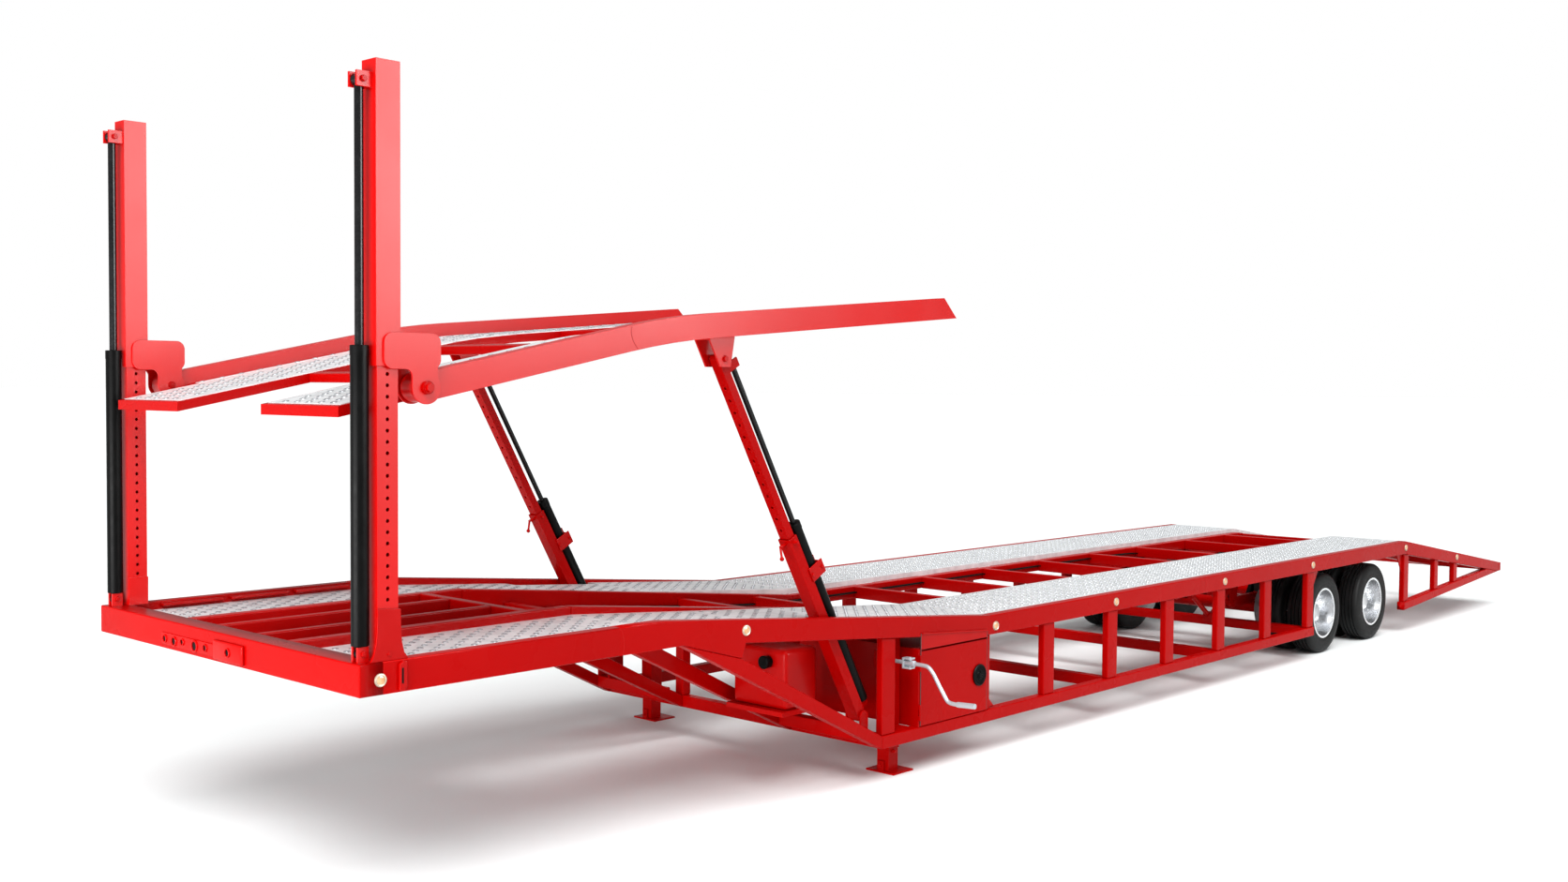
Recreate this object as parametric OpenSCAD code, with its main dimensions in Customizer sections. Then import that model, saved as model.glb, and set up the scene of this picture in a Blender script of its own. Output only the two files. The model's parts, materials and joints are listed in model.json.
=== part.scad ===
// Car transporter semi-trailer: drop-deck chassis with side trusses, a lifting
// upper deck on two front masts and two inclined rear posts, tandem twin-tyred
// axles, landing legs, a beavertail and a side toolbox.
// Built from the front face (x = 0) rearwards (negative x), z = 0 on the ground,
// then placed so that the row's origin is the middle of the kingpin's neck.

/* [Overall] */
// Width over the side rails
overall_w = 2591; // [2400:1:2700]
// Length from the front beam to the rear bar
overall_l = 14630; // [14200:10:15200]
// Distance of the kingpin behind the front face
kingpin_setback = 914; // [700:1:1100]

/* [Neck] */
// Height of the neck's top
neck_top = 1195; // [1160:1:1260]
// Depth of the neck's rails and front beam
neck_d = 147; // [120:1:170]
// Where the neck ends and the slope starts
neck_end = -1800; // [-1900:1:-1700]
// Seam between the neck rail and the gooseneck plate
neck_seam = -1499; // [-1600:1:-1400]
// How far the tread lies below the neck rails' top
tread_drop = 45; // [20:1:60]

/* [Main deck] */
// Height of the main deck
deck_top = 920; // [880:1:960]
// Where the slope meets the level deck
deck_start = -4727; // [-4900:1:-4600]
// Where the level deck ends and the beavertail starts
deck_end = -11829; // [-12000:1:-11700]
// Depth of the deck's side rails
rail_d = 130; // [110:1:150]
// Width of the deck's side rails
rail_w = 75; // [60:1:90]
// Thickness of the tread planks
tread_t = 38; // [30:1:50]
// Middle of the inner rails, from the centre line
inner_y = 507; // [450:1:560]
// Width of the inner rails
inner_w = 75; // [50:1:90]

/* [Trusses] */
// Underside of the lower side rails
lower_z = 215; // [180:1:260]
// Depth of the lower side rails
lower_d = 80; // [60:1:100]
// Front corner of the lower side rails
lower_front = -3615; // [-3700:1:-3560]
// Length of an upright along the trailer
upright_l = 133; // [100:1:150]
// Thickness of an upright across the trailer
upright_t = 50; // [40:1:60]
// First upright behind the toolbox
upright_first = -5453; // [-5500:1:-5400]
// Distance between uprights
upright_pitch = 843; // [800:1:850]
// How far the uprights lie inside the rails' face
upright_inset = 12; // [5:1:20]

/* [Wheels] */
// Outer radius of a tyre
tyre_r = 368; // [350:1:380]
// Width of a tyre
tyre_w = 215; // [195:1:225]
// Radius of the rim under the bead
rim_r = 222; // [200:1:240]
// Distance between the twin tyres' middles
twin_pitch = 260; // [250:1:275]
// Front axle's place
axle_x = -10140; // [-10200:1:-10120]
// Distance between the axles
axle_pitch = 1095; // [1070:1:1150]
// Radius of the stub axles
stub_r = 40; // [35:1:50]
// Gap between the tyres and the side rails' inner face
tyre_gap = 6; // [6:1:60]

/* [Front masts] */
// Length of a mast sleeve along the trailer
sleeve_l = 125; // [110:1:140]
// Width of a mast sleeve across the trailer
sleeve_w = 110; // [100:1:130]
// Wall of a mast sleeve
sleeve_t = 5; // [4:1:8]
// Gap between a sleeve and the post inside it
slide_gap = 4; // [3:1:6]
// Lower end of the sleeves
sleeve_bottom = 2500; // [2450:1:2550]
// Upper end of the sleeves
sleeve_top = 3840; // [3800:1:3900]
// Travel of the front lift below its place
lift_down = 1050; // [1000:10:1080]
// Distance between the pin holes
hole_pitch = 50; // [40:1:75]
// Radius of a pin hole
hole_r = 9; // [6:1:12]

/* [Upper deck] */
// Width of the upper deck's side rails
upper_w = 80; // [70:1:90]
// Depth of the upper deck's side rails
upper_d = 134; // [120:1:150]
// Rise of the deck's front part for each unit of length
front_rise = 0.204; // [0.15:0.001:0.25]
// Rise of the deck's rear part for each unit of length
rear_rise = 0.085; // [0.05:0.001:0.12]
// Radius of the front pivot pins
pivot_r = 20; // [16:1:25]

/* [Rear posts] */
// Width of the outer post tubes across the trailer
post_w = 90; // [80:1:100]
// Thickness of the outer post tubes fore and aft
post_l = 70; // [60:1:80]
// Length of the outer post tubes
post_len = 1300; // [1200:10:1400]
// Distance of the cylinders behind the posts' middle
jack_offset = 84; // [80:1:95]
// Radius of the cylinder barrels
barrel_r = 38; // [30:1:42]
// Radius of the cylinder rods
rod_r = 20; // [15:1:25]

/* [Toolbox] */
// Front face of the toolbox
box_front = -3965; // [-3990:1:-3950]
// Length of the toolbox
box_l = 735; // [650:1:760]
// Depth of the toolbox across the trailer
box_w = 1000; // [400:1:1050]
// Thickness of the toolbox walls
box_t = 4; // [3:1:6]

/* [Hidden] */

red = [0.72, 0.02, 0.02];
half_w = overall_w / 2;
rail_in = half_w - rail_w;
beam_l = 120;
neck_bottom = neck_top - neck_d;
coupler_t = 12;
coupler_z = neck_bottom - coupler_t;
kingpin_neck = 53.5;
deck_tread_z = deck_top - tread_t;
slope_rate = (neck_top - deck_top) / (neck_end - deck_start);
tail_x = -overall_l + 70;
tail_top = 497;
tail_bottom = 396;
lower_top = lower_z + lower_d;
inner_y0 = inner_y - inner_w / 2;
inner_y1 = inner_y + inner_w / 2;
cross_l = 60;
cross_d = 90;
weld_gap = 0.5;
brace_start = -1944;
brace_notch = [-2391, 924];
leg_x = -3904;
leg_y = half_w - 195;

function slope_z(x) = neck_top - slope_rate * (neck_end - x);
function tail_z(x) = deck_top - (deck_top - tail_top) * (deck_end - x) / (deck_end - tail_x);
function tail_under_z(x) =
    deck_top - rail_d - (deck_top - rail_d - tail_bottom) * (deck_end - x) / (deck_end - tail_x);
function tail_low_z(x) =
    lower_z + 14 + (tail_bottom - lower_z - 14) * (deck_end - x) / (deck_end - tail_x);
function tread_z(x) =
    x > neck_end ? neck_top - tread_drop
    : x > deck_start
        ? neck_top - tread_drop
            - (neck_top - tread_drop - deck_top) * (neck_end - x) / (neck_end - deck_start)
    : x > deck_end ? deck_top
    : tail_z(x);
upright_x = [for (i = [0:5]) upright_first - i * upright_pitch];

// masts and their cylinders
jack_x = -50;
jack_y = half_w - 73;
jack_foot_z = 1232;
barrel_t = 7;
rod_eye_z = sleeve_top - 94;

// upper deck
mast_x = -95;
mast_y = half_w - 10.5;
sleeve_y0 = mast_y - sleeve_w;
post_inset = sleeve_t + slide_gap;
pivot_x = -350;
pivot_z = 2406;
upper_y1 = 1265 - 1295.5 + half_w;
upper_y0 = upper_y1 - upper_w;
bend_x = -1889;
bend_z = pivot_z + front_rise * (pivot_x - bend_x);
upper_end = -4230;
ear_t = 12;
lug_hole_r = 15;
deck_in = 420;
deck_side = 1100;
flap_front = -20;
strip_front = -460;
runway_t = 50;
function upper_mid_z(x) =
    x > bend_x ? pivot_z + front_rise * (pivot_x - x) : bend_z + rear_rise * (bend_x - x);

// rear posts
base_x = -3530;
base_z = 420;
head_x = -2315;
head_z = 2570;
post_y = half_w - 136;
post_angle = atan2(head_z - base_z, head_x - base_x);
post_span = norm([head_x - base_x, head_z - base_z]);
inner_post_w = post_w - 20;
inner_post_l = post_l - 20;
anchor_z = 350;

// axles and wheels
tyre_y = rail_in - tyre_gap - tyre_w / 2;
stub_y = tyre_y - twin_pitch / 2 + 125;
// each arm turns on a pin between a hanger's two plates, ahead of its axle
arm_pin = [470, 450];
spring_seat = 481;

module place() {
    translate([kingpin_setback, 0, kingpin_neck - coupler_z]) children();
}

module both_sides() {
    children();
    mirror([0, 1, 0]) children();
}

// a box from its lowest and highest x, y and z
module block(x, y, z) {
    translate([x[0], y[0], z[0]]) cube([x[1] - x[0], y[1] - y[0], z[1] - z[0]]);
}

// a side outline (x, z) with its thickness across the trailer
module side_plate(y) {
    translate([0, y[1], 0]) rotate([90, 0, 0]) linear_extrude(y[1] - y[0]) children();
}

// a shaft across the trailer
module cross_shaft(x, z, y, r) {
    translate([x, y[0], z]) rotate([-90, 0, 0]) cylinder(r = r, h = y[1] - y[0], $fn = 48);
}

// something built along +Z, laid along the rear post from its base
module along_post() {
    translate([base_x, post_y, base_z]) rotate([0, 90 - post_angle, 0]) children();
}

module front_beam() {
    color(red) {
        block([-beam_l, 0], [-half_w, half_w], [neck_bottom, neck_top]);
    }
}

module neck_side_rails() {
    color(red) both_sides() {
        block([neck_seam, -beam_l], [rail_in, half_w], [neck_bottom, neck_top]);
    }
}

module gooseneck_sides() {
    notch_x = -2420;
    color(red) both_sides() side_plate([rail_in, half_w]) polygon([
        [neck_seam, neck_bottom], [neck_seam, neck_top], [neck_end, neck_top],
        [deck_start, deck_top], [deck_start, deck_top - rail_d],
        [notch_x, slope_z(notch_x) - rail_d], brace_notch, [brace_start, neck_bottom]
    ]);
}

// the front brace runs from the neck's underside to the lower rail's corner
function inner_under_z(x) =
    x > neck_end ? neck_bottom
    : neck_bottom - (neck_bottom - deck_tread_z + cross_d) * (neck_end - x) / (neck_end - deck_start);

module neck_braces() {
    inner_top = -2222;
    color(red) both_sides() {
        side_plate([rail_in, half_w]) polygon([
            [brace_start, neck_bottom - weld_gap], [brace_notch[0], brace_notch[1] - weld_gap],
            [lower_front, lower_top], [lower_front, lower_z]
        ]);
        side_plate([inner_y0, inner_y1]) polygon([
            [brace_start, inner_under_z(brace_start) - weld_gap],
            [inner_top, inner_under_z(inner_top) - weld_gap],
            [lower_front, lower_top], [lower_front, lower_z]
        ]);
    }
}

module deck_side_rails() {
    color(red) both_sides()
        block([deck_end, deck_start], [rail_in, half_w], [deck_top - rail_d, deck_top]);
}

module lower_side_rails() {
    color(red) both_sides()
        block([upright_x[5] - upright_l / 2, lower_front], [rail_in, half_w], [lower_z, lower_top]);
}

module beavertail_rails() {
    join_x = tail_x + 380;
    color(red) both_sides() side_plate([rail_in, half_w]) {
        polygon([
            [deck_end, deck_top - rail_d], [deck_end, deck_top], [tail_x, tail_top], [tail_x, tail_bottom]
        ]);
        polygon([
            [deck_end, tail_low_z(deck_end)], [deck_end, tail_low_z(deck_end) + lower_d],
            [join_x, tail_under_z(join_x) - weld_gap], [tail_x, tail_bottom - weld_gap]
        ]);
    }
}

module truss_uprights() {
    y = [half_w - upright_inset - upright_t, half_w - upright_inset];
    top = deck_top - rail_d;
    color(red) both_sides() {
        for (x = upright_x)
            block([x - upright_l / 2, x + upright_l / 2], y, [lower_top, top]);
        block([box_front - box_l - 45, box_front - box_l - 5], y, [lower_top, top]);
        side_plate([inner_y0, inner_y1]) polygon([
            [lower_front - 75, lower_top], [lower_front, lower_top],
            [lower_front, inner_under_z(lower_front) - weld_gap],
            [lower_front - 75, inner_under_z(lower_front - 75) - weld_gap]
        ]);
        side_plate(y) polygon([
            [-3749, lower_top], [-3621, lower_top],
            [-3621, slope_z(-3621) - rail_d], [-3749, slope_z(-3749) - rail_d]
        ]);
        side_plate(y) polygon([
            [deck_end - 120, tail_low_z(deck_end - 120) + lower_d + 12],
            [deck_end, tail_low_z(deck_end) + lower_d], [deck_end, top],
            [deck_end - 120, tail_under_z(deck_end - 120)]
        ]);
        for (x = [-12700, -13250])
            side_plate(y) polygon([
                [x - 50, tail_rise_z(x - 50)], [x + 50, tail_rise_z(x + 50)],
                [x + 50, tail_under_z(x + 50)], [x - 50, tail_under_z(x - 50)]
            ]);
    }
}

// top of the beavertail's lower rail
function tail_rise_z(x) =
    let (join_x = tail_x + 380, low = tail_low_z(deck_end) + lower_d)
    low + (tail_under_z(join_x) - low) * (deck_end - x) / (deck_end - join_x);

// a length of rail between two stations, given its top and underside at each
module length_of(x, top, under) {
    polygon([[x[0], top[0]], [x[1] + weld_gap, top[1]], [x[1] + weld_gap, under[1]], [x[0], under[0]]]);
}

module inner_rails() {
    under = deck_tread_z - cross_d;
    color(red) both_sides() {
        side_plate([inner_y0, inner_y1]) {
            length_of([-beam_l, neck_end], [neck_top, neck_top], [neck_bottom, neck_bottom]);
            length_of([neck_end, deck_start], [neck_top, deck_tread_z], [neck_bottom, under]);
            length_of([deck_start, deck_end], [deck_tread_z, deck_tread_z], [under, under]);
            length_of(
                [deck_end, tail_x - weld_gap], [deck_tread_z, tail_top - tread_t], [under, tail_bottom]
            );
        }
        block([neck_seam, -beam_l], [170, 220], [neck_top - 65, neck_top]);
    }
}

// the crossmembers under the treads, in three lengths between the rails
module crossmembers() {
    module cross(x, z) {
        block([x - cross_l, x], [-inner_y0, inner_y0], z);
        both_sides() block([x - cross_l, x], [inner_y1, rail_in], z);
    }
    color(red) {
        for (x = [-620, -1130]) cross(x, [neck_bottom, neck_top - tread_drop - tread_t]);
        block([neck_seam - cross_l, neck_seam], [-inner_y0, inner_y0], [neck_bottom, neck_top]);
        for (x = [-2100, -3560, -4300])
            cross(x, [tread_z(x - cross_l) - tread_t - 70, tread_z(x - cross_l) - tread_t]);
        for (x = concat(upright_x, [-10640, -11480]))
            cross(x + cross_l / 2, [deck_tread_z - cross_d, deck_tread_z]);
        for (x = [deck_end - 40, -12670, -13220, -13900])
            cross(x, [tail_z(x - cross_l) - tread_t - 60, tail_z(x - cross_l) - tread_t]);
    }
}

module lower_crossmembers() {
    anchor_y = post_y - post_w / 2 - ear_t - 4;
    color(red) {
        block([lower_front - 75, lower_front], [-rail_in, rail_in], [lower_z, lower_top]);
        for (i = [1, 3, 5])
            block([upright_x[i] - 40, upright_x[i] + 40], [-rail_in, rail_in], [lower_z, lower_top]);
        both_sides() block([base_x - 40, base_x + 40], [inner_y1, rail_in], [anchor_z - 80, anchor_z]);
    }
}

// the tread planks from the neck to the tail, with room for the rear posts
module runways() {
    slot = [-2680, -3400];
    module plank(a, b, y) side_plate([inner_y1, y])
        length_of([a, b], [tread_z(a), tread_z(b)], [tread_z(a) - tread_t, tread_z(b) - tread_t]);
    color([0.75, 0.76, 0.77]) both_sides() {
        plank(-beam_l, neck_end, rail_in);
        plank(neck_end, slot[0], rail_in);
        plank(slot[0], slot[1], post_y - post_w / 2 - 12);
        plank(slot[1], deck_start, rail_in);
        plank(deck_start, deck_end, rail_in);
        plank(deck_end, tail_x - weld_gap, rail_in);
    }
}

module rear_bar() {
    color(red) block([-overall_l, tail_x], [-half_w, half_w], [tail_bottom, tail_top - 8]);
}

// the coupler plate with the kingpin under it
module coupler() {
    color("dimgray") {
        block([neck_seam, -300], [-inner_y1, inner_y1], [coupler_z, neck_bottom]);
        translate([-kingpin_setback, 0, coupler_z - 84]) rotate_extrude($fn = 64) polygon([
            [0, 0], [32, 0], [35.7, 4], [35.7, 13], [25.4, 13], [25.4, 48], [36.5, 48],
            [36.5, 84.5], [0, 84.5]
        ]);
    }
}

module toolbox() {
    x = [box_front - box_l, box_front];
    y = [half_w - 26 - box_w, half_w - 26];
    z = [lower_top, deck_top - rail_d - 5];
    color(red) difference() {
        block(x, y, z);
        block([x[0] + box_t, x[1] - box_t], [y[0] + box_t, y[1] + 1], [z[0] + box_t, z[1] - box_t]);
        block([x[0] - 1, x[1] + 1], [rail_in - 1, half_w], [z[0] - 1, lower_top]);
    }
    // the jamb beside the door's hinged edge
    color(red) block([box_front - 15, box_front], [y[1] - 1, half_w - 2], z);
    color(red) at_hinges() {
        for (z = [-50, 20]) {
            translate([0, 0, z]) cylinder(r = knuckle_r, h = 30, $fn = 32);
            block([3, 7], [-36, 0], [z, z + 30]);
        }
        cylinder(r = hinge_pin_r, h = 100, center = true, $fn = 32);
    }
}

// the door's two hinges: knuckles on the door between the toolbox's own
door_z = [lower_top + 6, deck_top - rail_d - 8];
hinge = [box_front - 8, half_w + 6];
knuckle_r = 6;
hinge_pin_r = 3;
module at_hinges() {
    for (z = [door_z[0] + 85, door_z[1] - 85]) translate([hinge[0], hinge[1], z]) children();
}

module toolbox_door() {
    edge = 20;
    color(red) {
        block([box_front - box_l + 12, box_front - edge], [half_w - 20, half_w + 4], door_z);
        at_hinges() difference() {
            union() {
                cylinder(r = knuckle_r, h = 36, center = true, $fn = 32);
                block([8 - edge - 1, 0], [-6, -2], [-18, 18]);
            }
            cylinder(r = hinge_pin_r + 0.5, h = 38, center = true, $fn = 32);
        }
    }
}

// the legs' fixed outer tubes, with the gearbox for the crank on the left one
module landing_legs() {
    color(red) {
        both_sides() translate([leg_x, leg_y, 0]) difference() {
            block([-52, 52], [-52, 52], [150, 930]);
            block([-47, 47], [-47, 47], [149, 923]);
        }
        for (s = [-1, 1], z = [[lower_z, lower_top], [880, 930]])
            block([leg_x - 52, leg_x + 52],
                [s > 0 ? leg_y + 52 : -rail_in, s > 0 ? rail_in : -leg_y - 52], z);
        block([leg_x + 52, leg_x + 100], [leg_y - 40, leg_y + 35], [665, 775]);
    }
}

module landing_feet() {
    color(red) both_sides() translate([leg_x, leg_y, 0]) {
        block([-47, 47], [-47, 47], [12, 640]);
        block([-125, 75], [-115, 110], [0, 12]);
        block([47, 70], [-22, 22], [12, 75]);
    }
}

// a bar with round bends, given by its points across the trailer
module landing_crank() {
    points = [
        [leg_y + 36, 720], [half_w + 146, 716], [half_w + 290, 610], [half_w + 375, 519], [half_w + 534, 528]
    ];
    r = 11;
    color("silver") translate([-3828, 0, 0]) for (i = [0:3]) {
        d = points[i + 1] - points[i];
        translate([0, points[i][0], points[i][1]]) {
            if (i > 0) sphere(r = r + 1, $fn = 24);
            rotate([-atan2(d[0], d[1]), 0, 0]) cylinder(r = r, h = norm(d), $fn = 24);
        }
    }
}

module axle_beams() {
    color(red) for (i = [0, 1]) translate([axle_x - i * axle_pitch, 0, tyre_r]) {
        rotate([90, 0, 0]) cylinder(r = 63, h = 1350, center = true, $fn = 64);
        rotate([90, 0, 0]) cylinder(r = stub_r, h = 2 * stub_y, center = true, $fn = 48);
    }
}

module suspension_hangers() {
    under = deck_tread_z - cross_d;
    color(red) both_sides() for (i = [0, 1], y = [inner_y0, inner_y1 - 12])
        translate([axle_x - i * axle_pitch + arm_pin[0], 0, 0]) side_plate([y, y + 12]) difference() {
            union() {
                polygon([[-130, under], [130, under], [55, arm_pin[1]], [-55, arm_pin[1]]]);
                translate([0, arm_pin[1]]) circle(r = 55, $fn = 48);
            }
            translate([0, arm_pin[1]]) circle(r = 21, $fn = 32);
        }
}

// the arms' lower edge, on the upper half of the axle beam
arm_low = tyre_r + 32;
module trailing_arms() {
    color(red) both_sides() for (i = [0, 1]) translate([axle_x - i * axle_pitch, 0, 0]) {
        side_plate([inner_y0 + 14, inner_y1 - 14]) difference() {
            union() {
                polygon([
                    [arm_pin[0], 490], [arm_pin[0], 410], [90, arm_low], [-90, arm_low], [-360, 440],
                    [-360, spring_seat], [-130, spring_seat], [-60, 490]
                ]);
                translate(arm_pin) circle(r = 42, $fn = 48);
            }
            translate([0, tyre_r]) circle(r = 63, $fn = 64);
        }
        cross_shaft(arm_pin[0], arm_pin[1], [inner_y0 - 14, inner_y1 + 14], 20.5);
    }
}

module air_springs() {
    color([0.05, 0.05, 0.05]) both_sides() for (i = [0, 1])
        translate([axle_x - i * axle_pitch - 250, inner_y, spring_seat])
            cylinder(r = 110, h = deck_tread_z - cross_d - spring_seat, $fn = 64);
}

module marker_lights() {
    spots = [
        [-105, 1116], [-2416, 1079], [-4787, 845], [-6313, 855], [-8008, 855], [-9679, 855], [-11829, 855]
    ];
    color([0.95, 0.75, 0.45]) both_sides()
        for (p = spots) cross_shaft(p[0], p[1], [half_w, half_w + 8], 28);
}

module tail_lights() {
    color([0.6, 0.02, 0.02]) both_sides() for (y = [1050, 1180])
        translate([-overall_l, y, 445]) rotate([0, -90, 0]) cylinder(r = 50, h = 12, $fn = 48);
}

module mast_posts() {
    x = [mast_x - sleeve_l + post_inset, mast_x - post_inset];
    y = [sleeve_y0 + post_inset, mast_y - post_inset];
    top = sleeve_top - lift_down - 70;
    wall = 8;
    hole_n = floor((top - neck_top - 150) / hole_pitch);
    color(red) both_sides() {
        difference() {
            block(x, y, [neck_top, top]);
            block([x[0] + wall, x[1] - wall], [y[0] + wall, y[1] - wall], [neck_top + wall, top + 1]);
            for (i = [0:hole_n - 1])
                cross_shaft((x[0] + x[1]) / 2, neck_top + 120 + i * hole_pitch, [y[0] - 1, y[1] + 1], hole_r);
        }
        // the foot's gussets and the cylinder's ears
        translate([0, 0, neck_top]) {
            side_plate([y[0] - 12, y[0]])
                polygon([[-beam_l, 0], [x[1], 0], [x[1], 150], [x[0], 150], [-beam_l - 90, 0]]);
            for (s = [-1, 1]) translate([jack_x, jack_y + s * 20, 0]) difference() {
                block([-28, 28], [-6, 6], [0, 68]);
                translate([0, 0, jack_foot_z - neck_top]) rotate([90, 0, 0])
                    cylinder(r = 12, h = 20, center = true, $fn = 32);
            }
        }
    }
}

// a cylinder's barrel along +Z, open inside, with a gland round the rod
module barrel(r, rod, h) {
    rotate_extrude($fn = 64) polygon([
        [0, 0], [r, 0], [r, h], [rod + 1, h], [rod + 1, h - 40], [r - barrel_t, h - 50],
        [r - barrel_t, 12], [0, 12]
    ]);
}

module mast_barrels() {
    color([0.06, 0.06, 0.06]) both_sides() translate([jack_x, jack_y, jack_foot_z]) {
        translate([0, 0, 35]) barrel(40, rod_r, 1305);
        rotate([90, 0, 0]) cylinder(r = 26, h = 24, center = true, $fn = 48);
        block([-20, 20], [-12, 12], [0, 36]);
    }
}

module mast_sleeves() {
    x = [mast_x - sleeve_l, mast_x];
    y = [sleeve_y0, mast_y];
    color(red) both_sides() {
        difference() {
            block(x, y, [sleeve_bottom, sleeve_top]);
            block([x[0] + sleeve_t, x[1] - sleeve_t], [y[0] + sleeve_t, y[1] - sleeve_t],
                [sleeve_bottom - 1, sleeve_top - 8]);
        }
        for (p = [[mast_y, mast_y + 10], [sleeve_y0 - 10, sleeve_y0]]) side_plate(p) difference() {
            bracket_outline();
            translate([pivot_x, pivot_z]) circle(r = pivot_r, $fn = 48);
        }
        for (s = [-1, 1]) difference() {
            block([mast_x, jack_x + 32], [jack_y + s * 30 - 6, jack_y + s * 30 + 6],
                [rod_eye_z - 34, rod_eye_z + 34]);
            cross_shaft(jack_x, rod_eye_z, [jack_y + s * 30 - 7, jack_y + s * 30 + 7], 13);
        }
    }
}

// a plate with round corners, from its lowest and highest x and z
module rounded(x, z, r) {
    translate([x[0] + r, z[0]]) square([x[1] - x[0] - 2 * r, z[1] - z[0]]);
    translate([x[0], z[0] + r]) square([x[1] - x[0], z[1] - z[0] - 2 * r]);
    for (a = [x[0] + r, x[1] - r], b = [z[0] + r, z[1] - r]) translate([a, b]) circle(r = r, $fn = 48);
}

// the bracket reaches back from the sleeve and down round the deck's pivot
module bracket_outline() {
    lobe_r = 76;
    back = pivot_x - lobe_r + 16;
    front = pivot_x + lobe_r;
    fillet = 34;
    rounded([back - 16, mast_x - 34], [sleeve_bottom - 12, sleeve_bottom + 150], 46);
    translate([back, pivot_z]) square([front - back, sleeve_bottom - pivot_z + 60]);
    translate([pivot_x, pivot_z]) circle(r = lobe_r, $fn = 64);
    difference() {
        translate([front, sleeve_bottom - 12 - fillet]) square([fillet, fillet + 1]);
        translate([front + fillet, sleeve_bottom - 12 - fillet]) circle(r = fillet, $fn = 48);
    }
}

module mast_rods() {
    foot = jack_foot_z + 60 + lift_down;
    color([0.06, 0.06, 0.06]) both_sides() translate([jack_x, jack_y, 0]) {
        translate([0, 0, foot]) cylinder(r = rod_r, h = rod_eye_z - foot, $fn = 48);
        translate([0, 0, rod_eye_z]) {
            rotate([90, 0, 0]) cylinder(r = 28, h = 43, center = true, $fn = 48);
            rotate([90, 0, 0]) cylinder(r = 12.5, h = 80, center = true, $fn = 48);
        }
    }
}

module deck_front_pins() {
    color(red) both_sides() {
        cross_shaft(pivot_x, pivot_z, [sleeve_y0 - 14, mast_y + 10], pivot_r - 0.5);
        cross_shaft(pivot_x, pivot_z, [mast_y + 10, mast_y + 26], 30);
    }
}

module upper_outline(low, high) {
    xs = [pivot_x, -1600, -1740, bend_x, -2040, -2180];
    polygon(concat(
        [for (x = xs) [x, upper_curve_z(x) + high]], [[upper_end, upper_mid_z(upper_end) + high]],
        [[upper_end - 129, upper_mid_z(upper_end - 129) + low]],
        [for (i = [5:-1:0]) [xs[i], upper_curve_z(xs[i]) + low]]
    ));
}

// the rail's middle line, eased through the bend
bend_half = 290;
function upper_curve_z(x) =
    abs(x - bend_x) >= bend_half ? upper_mid_z(x)
    : upper_mid_z(x) - (front_rise - rear_rise) / (4 * bend_half) * pow(bend_half - abs(x - bend_x), 2);

// the rails, with the front pivots' round ends and the lugs for the rear posts
module upper_deck_rails() {
    ear_gap = 4;
    ears = [post_y - post_w / 2 - ear_gap - ear_t, post_y + post_w / 2 + ear_gap];
    x = [head_x - 75, head_x + 115];
    z = [for (p = x) upper_curve_z(p) - upper_d / 2];
    color(red) both_sides() {
        side_plate([upper_y0, upper_y1]) difference() {
            union() {
                upper_outline(-upper_d / 2, upper_d / 2);
                translate([pivot_x, pivot_z]) circle(r = upper_d / 2, $fn = 64);
            }
            translate([pivot_x, pivot_z]) circle(r = pivot_r + 0.5, $fn = 48);
        }
        for (y = ears) side_plate([y, y + ear_t]) difference() {
            polygon([
                [x[1], z[1] - 10], [x[0], z[0] - 10], [head_x - 45, head_z - 45], [head_x + 35, head_z - 45]
            ]);
            translate([head_x, head_z]) circle(r = lug_hole_r, $fn = 48);
        }
        side_plate([ears[0], ears[1] + ear_t])
            polygon([[x[1], z[1] - 10], [x[1], z[1]], [x[0], z[0]], [x[0], z[0] - 10]]);
    }
}

// the crossmembers between the runways, and those carrying them to the rails
module upper_deck_frames() {
    color(red) for (x = [-760, -1560, -2500, -3300, -4150])
        side_plate([-deck_in, deck_in]) upper_slab(x - 60, x, 0, runway_t);
}

// a piece of the deck's thickness between two stations, above the rails' underside
module upper_slab(x0, x1, low, high) {
    polygon([
        for (p = [[x0, low], [x1, low], [x1, high], [x0, high]])
            [p[0], upper_curve_z(p[0]) - upper_d / 2 + p[1]]
    ]);
}

module upper_deck_runways() {
    ends = [-1740, bend_x, -2180];
    front = [flap_front, strip_front];
    y = [deck_in, deck_side, upper_y0];
    color([0.75, 0.76, 0.77]) both_sides() for (i = [0, 1]) side_plate([y[i], y[i + 1]]) {
        upper_slab(ends[0] + weld_gap, front[i], 0, runway_t);
        upper_slab(ends[1] + weld_gap, ends[0], 0, runway_t);
        upper_slab(ends[2] + weld_gap, ends[1], 0, runway_t);
        upper_slab(upper_end - 100, ends[2], 0, runway_t);
    }
}

module post_anchors() {
    ear_gap = 4;
    color(red) both_sides() {
        for (y = [post_y - post_w / 2 - ear_gap - ear_t, post_y + post_w / 2 + ear_gap])
            side_plate([y, y + ear_t]) difference() {
                union() {
                    translate([base_x - 36, anchor_z]) square([72, base_z - anchor_z]);
                    translate([base_x, base_z]) circle(r = 36, $fn = 48);
                }
                translate([base_x, base_z]) circle(r = 17, $fn = 48);
            }
        cross_shaft(base_x, base_z, [post_y - post_w / 2 - 16, post_y + post_w / 2 + 16], 16.5);
    }
}

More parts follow.
